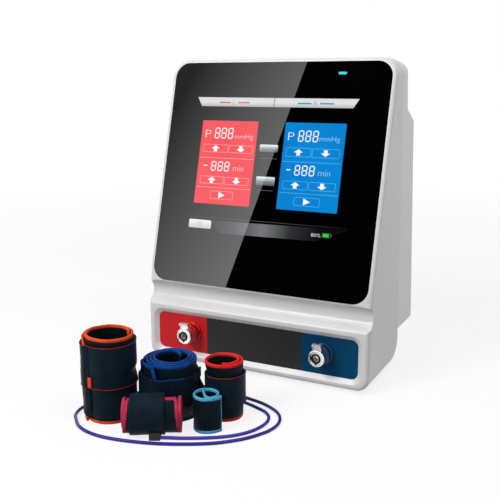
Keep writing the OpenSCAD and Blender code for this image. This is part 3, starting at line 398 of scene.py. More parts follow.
# %% Hose
hose_skin = hose_finish()
hose = grow("air_hose", tube, hose_line, {"Diameter": hose_mm / 1000, "Sides": 16, "Material": hose_skin},
    {"along": lengths(hose_line) / hose_length})
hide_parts("cuff_hose")
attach(hose, "pink_roll")
print("hose faces:", len(hose.data.polygons), "attributes:", [a.name for a in hose.data.attributes][:6])

# %% [markdown]
# ## What shows on the screen
# The lit panels, keys and figures lie behind the black glass. A picture can't be used here, so each is a
# thin plate that stands about a tenth of a millimetre proud of the glass, with a light of its own colour and
# the same gloss as the glass, so that reflections run on over it. All are drawn in the plane of the glass: u
# runs to the right and v up along the slope, both in millimetres.

# %% The plane of the glass
tilt = math.radians(14.9)
glass_low_y, glass_low_z = 17, 114
across, up = Vector((1, 0, 0)), Vector((0, math.sin(tilt), math.cos(tilt)))
off_glass = Vector((0, -math.cos(tilt), math.sin(tilt)))
on_ground, on_panel, on_key = 0.02, 0.12, 0.1


def on_glass(u, v, proud=0.0):
    """A point of the glass plane, in metres."""
    return (Vector((0, glass_low_y, glass_low_z)) + across * u + up * v + off_glass * proud) / 1000


def arc(u, v, r, begin, end, steps):
    """Points of an arc about a centre, the angles in degrees."""
    turns = [math.radians(begin + (end - begin) * k / steps) for k in range(steps + 1)]
    return [(u + r * math.cos(a), v + r * math.sin(a)) for a in turns]


def rounded(u0, v0, u1, v1, r, steps=5):
    """Outline of a rectangle with rounded corners, counterclockwise."""
    r = min(r, (u1 - u0) / 2, (v1 - v0) / 2)
    corners = [(u1 - r, v0 + r, -90), (u1 - r, v1 - r, 0), (u0 + r, v1 - r, 90), (u0 + r, v0 + r, 180)]
    return [point for u, v, a in corners for point in arc(u, v, r, a, a + 90, steps)]


def lit(name, colours, axis=None, span=(0, 1), rough=0.014, mottle=0.05, gloss=0.5):
    """A lit layer under glass: black gloss that gives off its colour, with a faint unevenness of the
    backlight. Where the backlight is strong the glass shows less of what it reflects, so gloss is lower
    there. Several colours run one into the next along an axis of the glass plane (u, v)."""
    material, tree, place = blank(name)
    clouds = speckle(tree, place, 24.0, 3.0)
    run = clouds
    if axis:
        way = (across * axis[0] + up * axis[1]).normalized()
        begin = on_glass(0, 0).dot(way)
        run = remap(tree, measure(tree, "DOT_PRODUCT", place, way), [begin + s / 1000 for s in span])
    last = max(1, len(colours) - 1)
    hue = shades(tree, run, *[(k / last, shade) for k, shade in enumerate(colours)])
    dim = remap(tree, clouds, (0.3, 0.7), (1 - mottle, 1.0))
    glow = add(tree, "ShaderNodeVectorMath", {"operation": "SCALE"}, Vector=hue, Scale=dim).outputs["Vector"]
    surface(tree, Base_Color=(0.004, 0.004, 0.005, 1), Roughness=rough, Specular_IOR_Level=gloss,
        Emission_Color=glow, Emission_Strength=1.0)
    return material


def plates(name, outlines, proud, material, thick=0.04):
    """Closed thin plates with these outlines (u, v) on the glass, as one piece that rides on the console."""
    shape = bmesh.new()
    for outline in outlines:
        rings = [[shape.verts.new(on_glass(u, v, lift)) for u, v in outline]
            for lift in (proud, proud + thick)]
        shape.faces.new(rings[1])
        shape.faces.new(list(reversed(rings[0])))
        for i in range(len(outline)):
            j = (i + 1) % len(outline)
            shape.faces.new((rings[0][i], rings[0][j], rings[1][j], rings[1][i]))
    mesh = bpy.data.meshes.new(name)
    shape.to_mesh(mesh)
    shape.free()
    piece = new_piece(name, mesh, material)
    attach(piece, "console")
    return piece


print("glass plane leans", round(math.degrees(tilt), 1), "degrees")

# %% [markdown]
# ### Panels and header
# One panel is red for the left channel and one blue for the right. Above them a pale header band narrows
# towards the bottom. The blocks have slightly rounded corners, as the graphics of a touch panel do.

# %% Panels and header
panel_red = lit("panel_red", [(250, 84, 92), (253, 98, 104)], gloss=0.08)
panel_blue = lit("panel_blue", [(0, 124, 206), (0, 138, 218)], gloss=0.1)
plates("panel_left", [rounded(-102, 108, -19, 219.8, 1.2)], on_ground, panel_red)
plates("panel_right", [rounded(19.8, 108, 102, 219.6, 1.2)], on_ground, panel_blue)
header = lit("header_band", [(190, 190, 191), (228, 229, 229), (222, 223, 224)], (0, 1), (239, 251.3),
    gloss=0.05)
plates("header_left", [[(-106.8, 239.1), (0.0, 239.05), (0.0, 250.9), (-113.9, 251.3)]], on_ground, header)
plates("header_right", [[(0.8, 239.05), (107.8, 239.0), (114.8, 250.6), (0.8, 250.9)]], on_ground, header)

# %% [markdown]
# ### Figures of seven bars
# Pressure and time are shown in the figures of a segment display: seven bars with mitred ends, all lit for
# an 8. The bars lean a touch to the right.

# %% Figures of seven bars
def bar(u0, v0, u1, v1, wide, gap=0.28):
    """One bar with pointed ends between two corners."""
    d = Vector((u1 - u0, v1 - v0))
    t, n = d.normalized() * wide / 2, Vector((-d.y, d.x)).normalized() * wide / 2
    a, b = Vector((u0, v0)) + d.normalized() * gap, Vector((u1, v1)) - d.normalized() * gap
    return [tuple(q) for q in (a, a + t - n, b - t - n, b, b - t + n, a + t + n)]


def eight(u, v, wide, high, stroke, lean=0.05):
    """The seven bars of an 8 whose lower left corner is at u, v."""
    grid = [(0, 0), (1, 0), (1, 0.5), (1, 1), (0, 1), (0, 0.5)]
    at = [(u + stroke / 2 + x * (wide - stroke), v + stroke / 2 + y * (high - stroke)) for x, y in grid]
    pairs = [(0, 1), (1, 2), (2, 3), (4, 3), (5, 4), (0, 5), (5, 2)]
    bars = [bar(*at[a], *at[b], stroke) for a, b in pairs]
    return [[(x + lean * (y - v), y) for x, y in shape] for shape in bars]


figure_pitch, figure_stroke = 9.9, 1.35
figures = []
figure_rows = [(-82, 7.6, 195.8, 14.6), (39, 7.4, 195.4, 14.4), (-82, 7.4, 152.4, 12.8),
    (39, 7.4, 152.2, 13.2)]
for start, wide, low, high in figure_rows:
    for k in range(3):
        figures += eight(start + k * figure_pitch, low, wide, high, figure_stroke)
minus_signs = [rounded(-93.6, 158.5, -87.4, 159.8, 0.4), rounded(27.8, 158.4, 33.4, 159.7, 0.4)]
print("bars:", len(figures))

# %% [markdown]
# ### Keys, arrows and lines
# Each key is an outlined box with rounded corners and an arrow or a start sign in it. An outline is a thin
# frame, made as a ring of quads between a larger and a smaller rounded box.

# %% Keys, arrows and lines
def between(outer, inner):
    """The quads between two outlines with the same number of points."""
    after = list(range(1, len(outer))) + [0]
    return [[outer[i], outer[j], inner[j], inner[i]] for i, j in enumerate(after)]


def frame_of(u0, v0, u1, v1, r, wide):
    """The quads of a thin rounded frame."""
    inner = rounded(u0 + wide, v0 + wide, u1 - wide, v1 - wide, max(r - wide, 0.2))
    return between(rounded(u0, v0, u1, v1, r), inner)


def arrow(u, v, wide, high, up_way=1):
    """An arrow with a stem about a centre, pointing up (1) or down (-1)."""
    w, h = wide / 2, high / 2
    neck, stem = -0.02 * h, 0.4 * w
    points = [(-w, neck), (-stem, neck), (-stem, -h), (stem, -h), (stem, neck), (w, neck), (0, h)]
    turned = [(u + x, v + y * up_way) for x, y in points]
    return turned[::-1] if up_way > 0 else turned


keys = [(-97, 177.3, -59.5, 187.8), (-58.5, 177.3, -22.7, 187.6), (-96.5, 135, -60.7, 145),
    (-59.7, 135, -23.8, 145), (24.5, 175.8, 59, 187.6), (60.3, 175.7, 96.9, 187.4), (25, 134.4, 59.4, 145),
    (60.7, 134.4, 96.6, 145), (-78.4, 115, -43.9, 125.7), (42.8, 114, 78, 125)]
key_corner, key_stroke = 1.6, 0.55
key_lines = [quad for k in keys for quad in frame_of(*k, key_corner, key_stroke)]
arrow_keys, arrow_wide, arrow_high = 8, 12.4, 8.2
start_wide, start_high = 4.5, 4.3
signs = []
for i, (u0, v0, u1, v1) in enumerate(keys):
    cu, cv = (u0 + u1) / 2, (v0 + v1) / 2
    if i < arrow_keys:
        signs.append(arrow(cu, cv, arrow_wide, arrow_high, 1 if i % 2 == 0 else -1))
    else:
        back, tip = cu - start_wide, cu + start_wide
        signs.append([(back, cv - start_high), (tip, cv), (back, cv + start_high)])
rules = [(-100, 169.4, -20.6, 170), (-100, 129.7, -20.6, 130.3), (21.5, 169.2, 100.5, 169.8),
    (21.5, 129.3, 100.5, 129.9)]
rule_lines = [rounded(*r, 0.1) for r in rules]
white_light = lit("white_light", [(250, 251, 252), (255, 255, 255)], mottle=0.02)
plates("panel_figures", figures + minus_signs + signs, on_panel, white_light)
line_red = lit("line_red", [(255, 158, 162), (255, 176, 180)], mottle=0.02)
line_blue = lit("line_blue", [(66, 172, 232), (104, 196, 244)], mottle=0.02)
for side, way, material in (("left", -1, line_red), ("right", 1, line_blue)):
    plates(f"panel_lines_{side}", [q for q in key_lines + rule_lines if q[0][0] * way > 0], on_panel,
        material)
print("keys:", len(keys), "arrows and signs:", len(signs))

# %% [markdown]
# ### Letters
# Only general signs are written: P for pressure, mmHg and min for the units, L and R for the channels and
# the charge in per cent. Blender's own letter shapes are turned into meshes first and only then laid on the
# glass.

# %% Letters
def letters(name, text, u, v, high, material, wide, proud=on_panel, thin=-0.16):
    """Text whose lower left corner is at u, v and whose capitals are high, stretched to a given width."""
    curve = bpy.data.curves.new(name, "FONT")
    curve.body, curve.size, curve.extrude, curve.resolution_u, curve.offset = text, 10, 0.02, 3, thin
    draft = new_piece(name + "_draft", curve)
    depsgraph = bpy.context.evaluated_depsgraph_get()
    mesh = bpy.data.meshes.new_from_object(draft.evaluated_get(depsgraph), depsgraph=depsgraph)
    bpy.data.objects.remove(draft)
    co = np.array([v.co for v in mesh.vertices], float)
    low, size = co.min(0), np.ptp(co, axis=0)
    for vert, (x, y, z) in zip(mesh.vertices, co - low):
        vert.co = on_glass(u + x * wide / size[0], v + y * high / size[1], proud + z)
    mesh.materials.clear()
    piece = new_piece(name, mesh, material)
    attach(piece, "console")
    return piece


for side, u in (("left", -95.6), ("right", 25.4)):
    letters(f"sign_p_{side}", "P", u, 196.8, 10, white_light, 8.0, thin=-0.24)
unit_red = lit("unit_red", [(255, 206, 208), (255, 216, 218)], mottle=0.02)
unit_blue = lit("unit_blue", [(150, 216, 246), (170, 224, 250)], mottle=0.02)
letters("unit_pressure_left", "mmHg", -51.4, 194.4, 8.0, unit_red, 27)
letters("unit_pressure_right", "mmHg", 68.6, 195, 8.0, unit_blue, 26.8)
letters("unit_time_left", "min", -48.6, 153.3, 7.2, unit_red, 15.4)
letters("unit_time_right", "min", 71.8, 153.4, 7.0, unit_blue, 15.6)

# %% [markdown]
# ### Header marks and middle keys
# The header carries one letter and a thin bar in each channel's colour. Between the panels are two small
# grey keys over a hairline. Their shade runs from dark at the foot to light at the top, so their finish
# follows the slope of the glass.

# %% Header marks and middle keys
header_red = lit("header_red", [(232, 96, 102), (240, 112, 118)], gloss=0.05)
header_cyan = lit("header_cyan", [(0, 158, 172), (10, 172, 188)], gloss=0.05)
letters("header_letter_left", "L", -59.6, 241.5, 5.8, header_red, 3.6, on_key)
letters("header_letter_right", "R", 55.6, 241.4, 5.8, header_cyan, 4.2, on_key)
plates("header_bars_left", [rounded(-80, 243.4, -63, 245.2, 0.6), rounded(-52.4, 243.4, -35.4, 245.2, 0.6)],
    on_key, header_red)
plates("header_bars_right", [rounded(33, 243.3, 52, 245.1, 0.6), rounded(63.4, 243.3, 82.4, 245.1, 0.6)],
    on_key, header_cyan)
grey_key = lit("grey_key", [(84, 88, 92), (150, 156, 160), (244, 248, 250)], (0, 1), (180.4, 190))
grey_key_low = lit("grey_key_low", [(76, 80, 84), (144, 150, 154), (240, 244, 248)], (0, 1), (137, 148.3))
plates("middle_key_top", [rounded(-13.3, 180.4, 12.8, 190, 1.6)], on_ground, grey_key)
plates("middle_key_low", [rounded(-13, 137, 13.4, 148.3, 1.6)], on_ground, grey_key_low)
cyan_mark = lit("cyan_mark", [(60, 200, 225), (90, 220, 240)])
plates("middle_marks", [rounded(-6.5, 186.2, 6.5, 187.4, 0.5), rounded(-4.5, 144, 5, 145.2, 0.5)], on_key,
    cyan_mark)
dim_line = lit("dim_line", [(90, 94, 100), (110, 114, 120)])
plates("middle_lines", [rounded(-9, 183.2, 8.6, 184, 0.3), rounded(-8.4, 140.4, 8.8, 141.2, 0.3),
    rounded(-12, 171.7, 13, 172.2, 0.2), rounded(-10.6, 130.3, 12, 130.8, 0.2)], on_key, dim_line)

# %% [markdown]
# ### Lower strip
# Along the bottom run a pale key with a faint ring, a bar that fades from black to grey and back, and the
# battery sign. The bar is one plate with five shades along it, which is simpler than five plates side by
# side.

# %% Lower strip
white_key = lit("white_key", [(200, 200, 201), (240, 240, 240)], (0, 1), (74.6, 85.9))
plates("white_key_plate", [rounded(-105.6, 74.6, -71.6, 85.9, 1.8)], on_ground, white_key)
ring_shade = lit("ring_shade", [(168, 172, 178), (190, 193, 198)])
ring_out, ring_in = (arc(-88.6, 80.2, r, 0, 360, 28)[:-1] for r in (3.4, 2.5))
plates("white_key_ring", between(ring_out, ring_in), on_key, ring_shade)
fade = lit("fade_bar", [(8, 8, 9), (66, 67, 70), (118, 120, 121), (44, 45, 47), (4, 4, 5)], (1, 0),
    (-76, 82))
plates("fade_bar_plate", [[(-57.2, 70.1), (78.5, 71.7), (120.1, 89.2), (-73.9, 85.9)]], on_ground, fade)
hair = lit("hair_line", [(20, 20, 22), (96, 98, 102), (20, 20, 22)], (1, 0), (-115, 118))
plates("hair_line_plate", [[(-115, 89.6), (118, 90.4), (118, 90.9), (-115, 90.1)]], on_ground, hair)
battery_green = lit("battery_green", [(20, 226, 24), (50, 240, 40)])
plates("battery_charge", [rounded(87.2, 78.2, 95.0, 81.9, 0.3)], on_key, battery_green)
battery_case = frame_of(86.2, 77.2, 97.4, 82.9, 0.7, 0.5)
plates("battery_outline", battery_case + [rounded(97.7, 78.9, 98.8, 81.3, 0.3)], on_key, dim_line)
letters("charge_value", "80%", 71.6, 77.2, 4.2, white_light, 12.4)

# %% [markdown]
# ### Status lamp
# The lit pill at the top right is a solid of the CAD model. It needs no new shape: it wears the same kind of
# finish as the screen, a little rougher, because its cover is plastic.

# %% Status lamp
lamp_light = lit("lamp_light", [(20, 216, 220), (60, 236, 236)], rough=0.12, gloss=0.2)
wear(nodes["status_lamp"], lamp_light)

# %% [markdown]
# ## Mouths of the couplings
# In the photograph the bright face of each coupling is broken by black: the rubber seal round its mouth, and
# the cast relief beside it, which holds shadow. The seal is a black rubber ring of round section; it also
# covers the bore wall, so its black is partly painted shade of the bore. The shadow in the relief is painted
# shade: a thin black plate of the same rubber lies in it. Both sit in the recesses that the CAD solid already
# has.

# %% Seals and liners
seal_radius, seal_thick, seal_turns, seal_sides = 5.3, 1.3, 40, 12
painted_shade_deep, painted_shade_from, seal_from = 0.6, 0.1, 0.3
# black plates that paint the shade in the relief beside each mouth
painted_shade_plates = ((-7.78, -5.48, -6.52, 4.48), (-1.28, -8.18, 1.28, -5.6))


# the seal ring is real rubber, but its black over the bore wall is also painted shade of the bore
def add_seal(shape, mouth):
    """A ring of round section that faces the front."""
    rings = []
    for i in range(seal_turns):
        a = 2 * math.pi * i / seal_turns
        ring = []
        for k in range(seal_sides):
            b = 2 * math.pi * k / seal_sides
            r = seal_radius + seal_thick * math.cos(b)
            spot = Vector((r * math.cos(a), seal_from + seal_thick * math.sin(b), r * math.sin(a)))
            ring.append(shape.verts.new(mouth + spot / 1000))
        rings.append(ring)
    for i, a in enumerate(rings):
        b = rings[(i + 1) % seal_turns]
        for k in range(seal_sides):
            after = (k + 1) % seal_sides
            shape.faces.new((a[k], a[after], b[after], b[k]))


def add_painted_shade_plate(shape, mouth, x0, z0, x1, z1):
    """A thin black plate in the relief beside the mouth: painted shade."""
    low, size = Vector((x0, painted_shade_from, z0)), Vector((x1 - x0, painted_shade_deep, z1 - z0))
    for vert in bmesh.ops.create_cube(shape, size=1)["verts"]:
        vert.co = mouth + (low + Vector(a * (b + 0.5) for a, b in zip(size, vert.co))) / 1000


# one black rubber for the seal and for the painted shade of the bore and the relief
seal_and_painted_shade = finish("seal_and_painted_shade", (7, 7, 8), (3, 3, 4), 60, (0.5, 0.65), 1500, 0.1,
    Specular_IOR_Level=0.15)
port_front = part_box("left_coupling")[0].y
for side in ("left", "right"):
    low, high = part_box(f"{side}_poppet")
    mouth = Vector(((low.x + high.x) / 2, port_front, (low.z + high.z) / 2))
    shape = bmesh.new()
    add_seal(shape, mouth)
    for painted_shade_plate in painted_shade_plates:
        add_painted_shade_plate(shape, mouth, *painted_shade_plate)
    bmesh.ops.recalc_face_normals(shape, faces=shape.faces)
    mesh = bpy.data.meshes.new(f"{side}_mouth_seal_and_painted_shade")
    shape.to_mesh(mesh)
    shape.free()
    mesh.polygons.foreach_set("use_smooth", [face.index < seal_turns * seal_sides for face in mesh.polygons])
    seal = new_piece(f"{side}_mouth_seal_and_painted_shade", mesh, seal_and_painted_shade)
    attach(seal, "console")
print("coupling face at y", round(port_front, 4))

# %% [markdown]
# ## Rolled cuffs
# A limb cuff is a flat bladder in laminated nylon, its edges closed with coloured binding tape, and a wide
# tie strap that holds it rolled up. Standing on its edge it looks like a spiral in plan, raised to the
# height of the cloth. So each cuff starts from a line in plan: a spiral with 3 or 4 mm between its turns. A
# simulation would have to wind up a real strip; here the rule of the spiral is known and can be drawn.

# %% Spirals and other runs
turn_pitch, tape_t, tape_h, cloth_t, strap_t = 4.0, 3.5, 4.0, 3.2, 2.0
turn_steps = 30


def ray(r, degrees):
    """A place in plan, at a distance from the middle of the roll and in a direction."""
    return (r * math.cos(math.radians(degrees)), r * math.sin(math.radians(degrees)))


def spiral(inner, k0, k1, start, pitch=turn_pitch):
    """Turns k0 to k1 of a roll in plan, a point every twelve degrees."""
    steps = range(round(k0 * turn_steps), round(k1 * turn_steps) + 1)
    return [ray(inner + pitch * i / turn_steps, start + 360 / turn_steps * i) for i in steps]


def strap_spiral(inner, wound, turns, start):
    """The spiral of a strap that goes on where a cuff of that many turns ends."""
    return spiral(inner + tape_t - turn_pitch, wound + 0.034, wound + turns, start)


class Run:
    """A smooth line in plan, with the distance along it and its outward side."""

    def __init__(self, points, step=1.2):
        line = smooth([(x, y, 0) for x, y in points], 6)
        far = lengths(line)
        self.s = np.linspace(0, far[-1], max(3, round(far[-1] / step)) + 1)
        self.p = np.stack([np.interp(self.s, far, line[:, k]) for k in (0, 1)], 1)
        d = np.gradient(self.p, axis=0)
        self.n = np.stack([d[:, 1], -d[:, 0]], 1) / np.linalg.norm(d, axis=1, keepdims=True)
        self.length = float(far[-1])

    def at(self, s, t):
        """Points at distance s along the line and t to its outward side."""
        s = np.asarray(s, float)
        x = [np.interp(s, self.s, self.p[:, k]) + t * np.interp(s, self.s, self.n[:, k]) for k in (0, 1)]
        return np.stack(x, -1)


print("a turn of the widest roll is", round(2 * math.pi * 26), "mm round")

# %% [markdown]
# ### The life of the cloth
# A real roll is never even: it bulges, creases, and its rim goes up and down. These are added to the points
# of the spiral afterwards, with noise that depends on the place. All turns at one angle bulge together, as
# layers pressed on each other do, so they never cut into one another.

# %% The life of the cloth
swell_high, ripple_high, hollow_fade, crease_wander, still_middle = 34, 13, 14, 2.2, 9


def hill(distance, reach):
    """A bell that is 1 in its middle and falls off over its reach."""
    return math.exp(-(distance / reach) ** 2)


def bulge(xy, z, seed, soft=0.7, creases=(), press=()):
    """How far, in mm, the cloth at a place stands out from the even roll: slow swells, creases (height, how
    deep, toward which side, how far round, how wide) and hollows pressed in (toward which side, how deep,
    how far round, where the roll ends, above what height)."""
    around = np.arctan2(xy[..., 1], xy[..., 0])
    radius = np.linalg.norm(xy, axis=-1).ravel()
    heights = np.broadcast_to(z, around.shape).ravel()
    out_by = np.empty(heights.size)
    for i, (a, h) in enumerate(zip(around.ravel(), heights)):
        c, s = math.cos(a), math.sin(a)
        slow = noise.noise(Vector((1.3 * c + seed, 1.3 * s, h / swell_high)))
        quick = noise.noise(Vector((3.1 * c, 3.1 * s + seed, h / ripple_high)))
        value = soft * (slow + 0.4 * quick)
        for height, depth, middle, reach, *wide in creases:
            wander = crease_wander * noise.noise(Vector((2 * c, 2 * s, seed + height)))
            near = hill(h - height - wander, (wide or [1.5])[0])
            value -= depth * near * hill(apart(a, middle), math.radians(reach))
        for middle, depth, reach, outer, above in press:
            near = hill(apart(a, middle), math.radians(reach)) * ramp(h, above - hollow_fade, above)
            value -= depth * radius[i] / outer * near
        out_by[i] = value
    return out_by.reshape(around.shape)


def apart(a, degrees):
    """The turn from a direction in degrees to an angle, at most half a circle."""
    return (a - math.radians(degrees) + math.pi) % (2 * math.pi) - math.pi


def stand_out(xy, z, seed, soft, creases=(), press=()):
    """The same places after the bulge, which pushes away from the middle of the roll."""
    r = np.linalg.norm(xy, axis=-1, keepdims=True)
    by = bulge(xy, z, seed, soft, creases, press)[..., None] * np.clip(r / still_middle, 0, 1)
    return xy + xy / np.maximum(r, 1e-6) * by


def ramp(share, begin, end):
    """A smooth step from 0 to 1."""
    x = np.clip((np.asarray(share, float) - begin) / (end - begin), 0, 1)
    return x * x * (3 - 2 * x)


def drawn(z, share, high, draw):
    """Heights in a roll whose later turns are drawn in: (from, to, by how many mm), from both ends of the
    roll or, with "top" after it, from its upper end alone."""
    for begin, end, amount, *part in draw:
        by = amount * ramp(share, begin, end)
        z = z * (1 - by / high) if part else high / 2 + (z - high / 2) * (1 - by / (high / 2))
    return z


def flared(z, share, high, flare):
    """How far the ends of a turn open like a bell: (from, full, until, gone, mm at the very end, reach)."""
    out = 0
    for begin, full, until, gone, amount, reach in flare:
        near_end = np.exp(-(np.minimum(z, high - z) / reach) ** 2)
        out = out + amount * ramp(share, begin, full) * (1 - ramp(share, until, gone)) * near_end
    return out


def rim_wave(xy, seed, high):
    """A small up and down of the upper rim."""
    around = np.arctan2(xy[..., 1], xy[..., 0])
    rise = [noise.noise(Vector((1.7 * math.cos(a), 1.7 * math.sin(a), seed * 3.1))) for a in around.ravel()]
    return high * np.array(rise).reshape(around.shape)


front_swell = bulge(np.array([[0.0, -20.0]]), np.array([30.0]), 1.0)
print("bulge of a plain roll at its front:", np.round(front_swell, 2), "mm")

# %% [markdown]
# ### A wall of cloth
# The wall is a grid: columns along the run, and in each column a closed ring of points up the inner face,
# round the top edge, down the outer face and round the bottom edge. Its UV map holds real millimetres along
# and up the cloth, so the weave follows the roll and never stretches.

# %% A wall of cloth
column_step, row_step, bar_row_step = 1.25, 2.2, 3.0
pinch, pinch_over = 0.45, 0.9


def wall_section(thick, tall, rows):
    """The closed ring of one column: how far across (0 to 1) and how far up (0 to 1) each point is, and the
    steps up one face."""
    count = max(3, round(tall / rows))
    lift = min(thick / 2, 1.2) / tall
    levels = [lift + (1 - 2 * lift) * h for h in np.linspace(0, 1, count + 1)]
    over = [(0.15, 1 - lift * 0.3), (0.5, 1.0), (0.85, 1 - lift * 0.3)]
    under = [(0.85, lift * 0.3), (0.5, 0.0), (0.15, lift * 0.3)]
    side, level = zip(*[(0.0, h) for h in levels], *over, *[(1.0, h) for h in levels[::-1]], *under)
    return np.array(side), np.array(level), count


def wall_faces(s, side, level, count, thick, tall):
    """The faces between columns and at both ends, with each corner's place on the flat cloth in metres."""
    columns, m = s.shape
    along = np.cumsum(np.hypot(np.diff(side) * thick, np.diff(level) * tall))
    along = np.concatenate([[0], along, [along[-1] + 0.5]])
    faces, uvs = [], []
    for i in range(columns - 1):
        for j in range(m):
            k = (j + 1) % m
            faces.append((i * m + j, i * m + k, (i + 1) * m + k, (i + 1) * m + j))
            uvs += [(s[i, j] / 1000, along[j] / 1000), (s[i, k] / 1000, along[j + 1] / 1000),
                (s[i + 1, k] / 1000, along[j + 1] / 1000), (s[i + 1, j] / 1000, along[j] / 1000)]
    last, opposite = count, 2 * count + 4
    cap = [[j, j + 1, opposite - j - 1, opposite - j] for j in range(last)]
    cap += [[last + j for j in range(5)], [opposite, opposite + 1, opposite + 2, opposite + 3, 0]]
    for i in (0, columns - 1):
        for quad in cap:
            order = quad[::-1] if i == 0 else quad
            faces.append([i * m + j for j in order])
            uvs += [((s[i, j] + 0.4 * side[j] * thick) / 1000, level[j] * tall / 1000) for j in order]
    return faces, uvs


def cloth_wall(name, run, t0, t1, z0, z1, material, place, seed=0.0, soft=0.7, creases=(), press=(),
        wave=0.5, full=(0, 1), cut=(0.0, 1.0), all_cut=False, settle=(0.0, 1.0, 0.0), draw=(), flare=(),
        rows=row_step, pucker=0.12):
    """A strip of cloth between two sides of a run. full is the share of the run used, cut takes a corner off
    its upper outer end (so far along, so far down), and settle lets its last stretch sink onto what is below
    (how much, over how far, how much thinner)."""
    thick, tall, high = t1 - t0, z1 - z0, z0 + z1
    side, level, count = wall_section(thick, tall, rows)
    a, b = full[0] * run.length, full[1] * run.length
    share = np.linspace(0, 1, max(4, round((b - a) / column_step)) + 1)[:, None]
    taken = cut[0] * np.clip((z0 + tall * level - z1 + cut[1]) / cut[1], 0, 1)
    s = a + (b - a) * share - taken * (1 if all_cut else np.clip(share * 6 - 5, 0, 1))
    to_end = np.minimum(share, 1 - share) * (b - a)
    full_here = np.clip(1 - pinch + pinch * np.sqrt(np.clip(to_end / pinch_over, 0, 1)), 0, 1)
    sunk = ramp(np.clip((s - b + settle[1]) / settle[1], 0, 1), 0, 1)
    z = drawn(np.broadcast_to(z0 + tall * level, s.shape), s / run.length, high, draw)
    t = (t0 + t1) / 2 + (side - 0.5) * thick * full_here - (settle[0] + settle[2] * side) * sunk
    t = t + flared(z, s / run.length, high, flare)
    outward = run.at(s, 1) - run.at(s, 0)
    xy = run.at(s, 0) + outward * t[..., None]
    moved = stand_out(xy, z, seed, soft, creases, press)
    if pucker:
        small = [noise.noise(Vector((u / 7, h / 4, seed + 9))) for u, h in zip(s.ravel(), z.ravel())]
        moved = moved + outward * (pucker * np.array(small).reshape(s.shape) * (side > 0.9))[..., None]
    risen = z + rim_wave(xy, seed, wave) * np.clip((z - z0) / tall, 0, 1)
    points = np.concatenate([moved, risen[..., None]], -1).reshape(-1, 3)
    faces, uvs = wall_faces(s, side, level, count, thick, tall)
    mesh = bpy.data.meshes.new(name)
    mesh.from_pydata(points.tolist(), [], faces)
    mesh.uv_layers.new(name="cloth_mm").data.foreach_set("uv", np.array(uvs, np.float32).ravel())
    face_outward(mesh, recalculate=True)
    return stand(new_piece(name, mesh), material, place)


def face_outward(mesh, recalculate=False):
    """Turns the faces of a closed mesh so that they look outward."""
    shape = bmesh.new()
    shape.from_mesh(mesh)
    if recalculate:
        bmesh.ops.recalc_face_normals(shape, faces=shape.faces)
    inward = shape.calc_volume(signed=True) < 0
    if inward:
        bmesh.ops.reverse_faces(shape, faces=shape.faces)
    if inward or recalculate:
        shape.to_mesh(mesh)
    shape.free()


def stand(piece, material, place):
    """Puts a piece made in a roll's own millimetres where the roll stands."""
    mesh = piece.data
    mesh.vertices.foreach_set("co", place(np.array([v.co for v in mesh.vertices], float)).ravel())
    mesh.update()
    face_outward(mesh)
    mesh.polygons.foreach_set("use_smooth", [True] * len(mesh.polygons))
    mesh.materials.clear()
    mesh.materials.append(material)
    return piece


def standing(x, y):
    """A roll that stands on its edge at x, y."""
    return lambda co: (co + [x, y + front_y, 0]) / 1000


print("points in one column of the widest cloth:", len(wall_section(cloth_t, 100 - 2 * tape_h, row_step)[0]))

# %% [markdown]
# ### Binding tape
# The tape is folded over the edge of the cloth and runs the whole spiral at its top and bottom. A tree draws
# a rounded box along a line: its width, height and corner radius are its inputs. A second tree walks along a
# line and puts down one stitch after another, each a short thread end sunk at both ends.

# %% Trees for tape and stitches
def tape_tree():
    """A flat tape with rounded edges along the line."""
    sizes = {"Width": "Float", "Height": "Float", "Corner": "Float", "Material": "Material"}
    tree, given = new_tree("tape_along_line", sizes)
    curve = add(tree, "GeometryNodeMeshToCurve", Mesh=given["Line"])
    level = add(tree, "GeometryNodeSetCurveNormal", {"mode": "Z_UP"}, Curve=curve.outputs["Curve"])
    box = add(tree, "GeometryNodeCurvePrimitiveQuadrilateral", Width=given["Width"], Height=given["Height"])
    soft = add(tree, "GeometryNodeFilletCurve", {"mode": "POLY"}, Curve=box.outputs["Curve"],
        Radius=given["Corner"], Count=3, Limit_Radius=True)
    skin = add(tree, "GeometryNodeCurveToMesh", Curve=level.outputs["Curve"],
        Profile_Curve=soft.outputs["Curve"], Fill_Caps=True)
    round_off = add(tree, "GeometryNodeSetShadeSmooth", Geometry=skin.outputs["Mesh"])
    return finish_tree(tree, round_off.outputs["Geometry"], given["Material"])


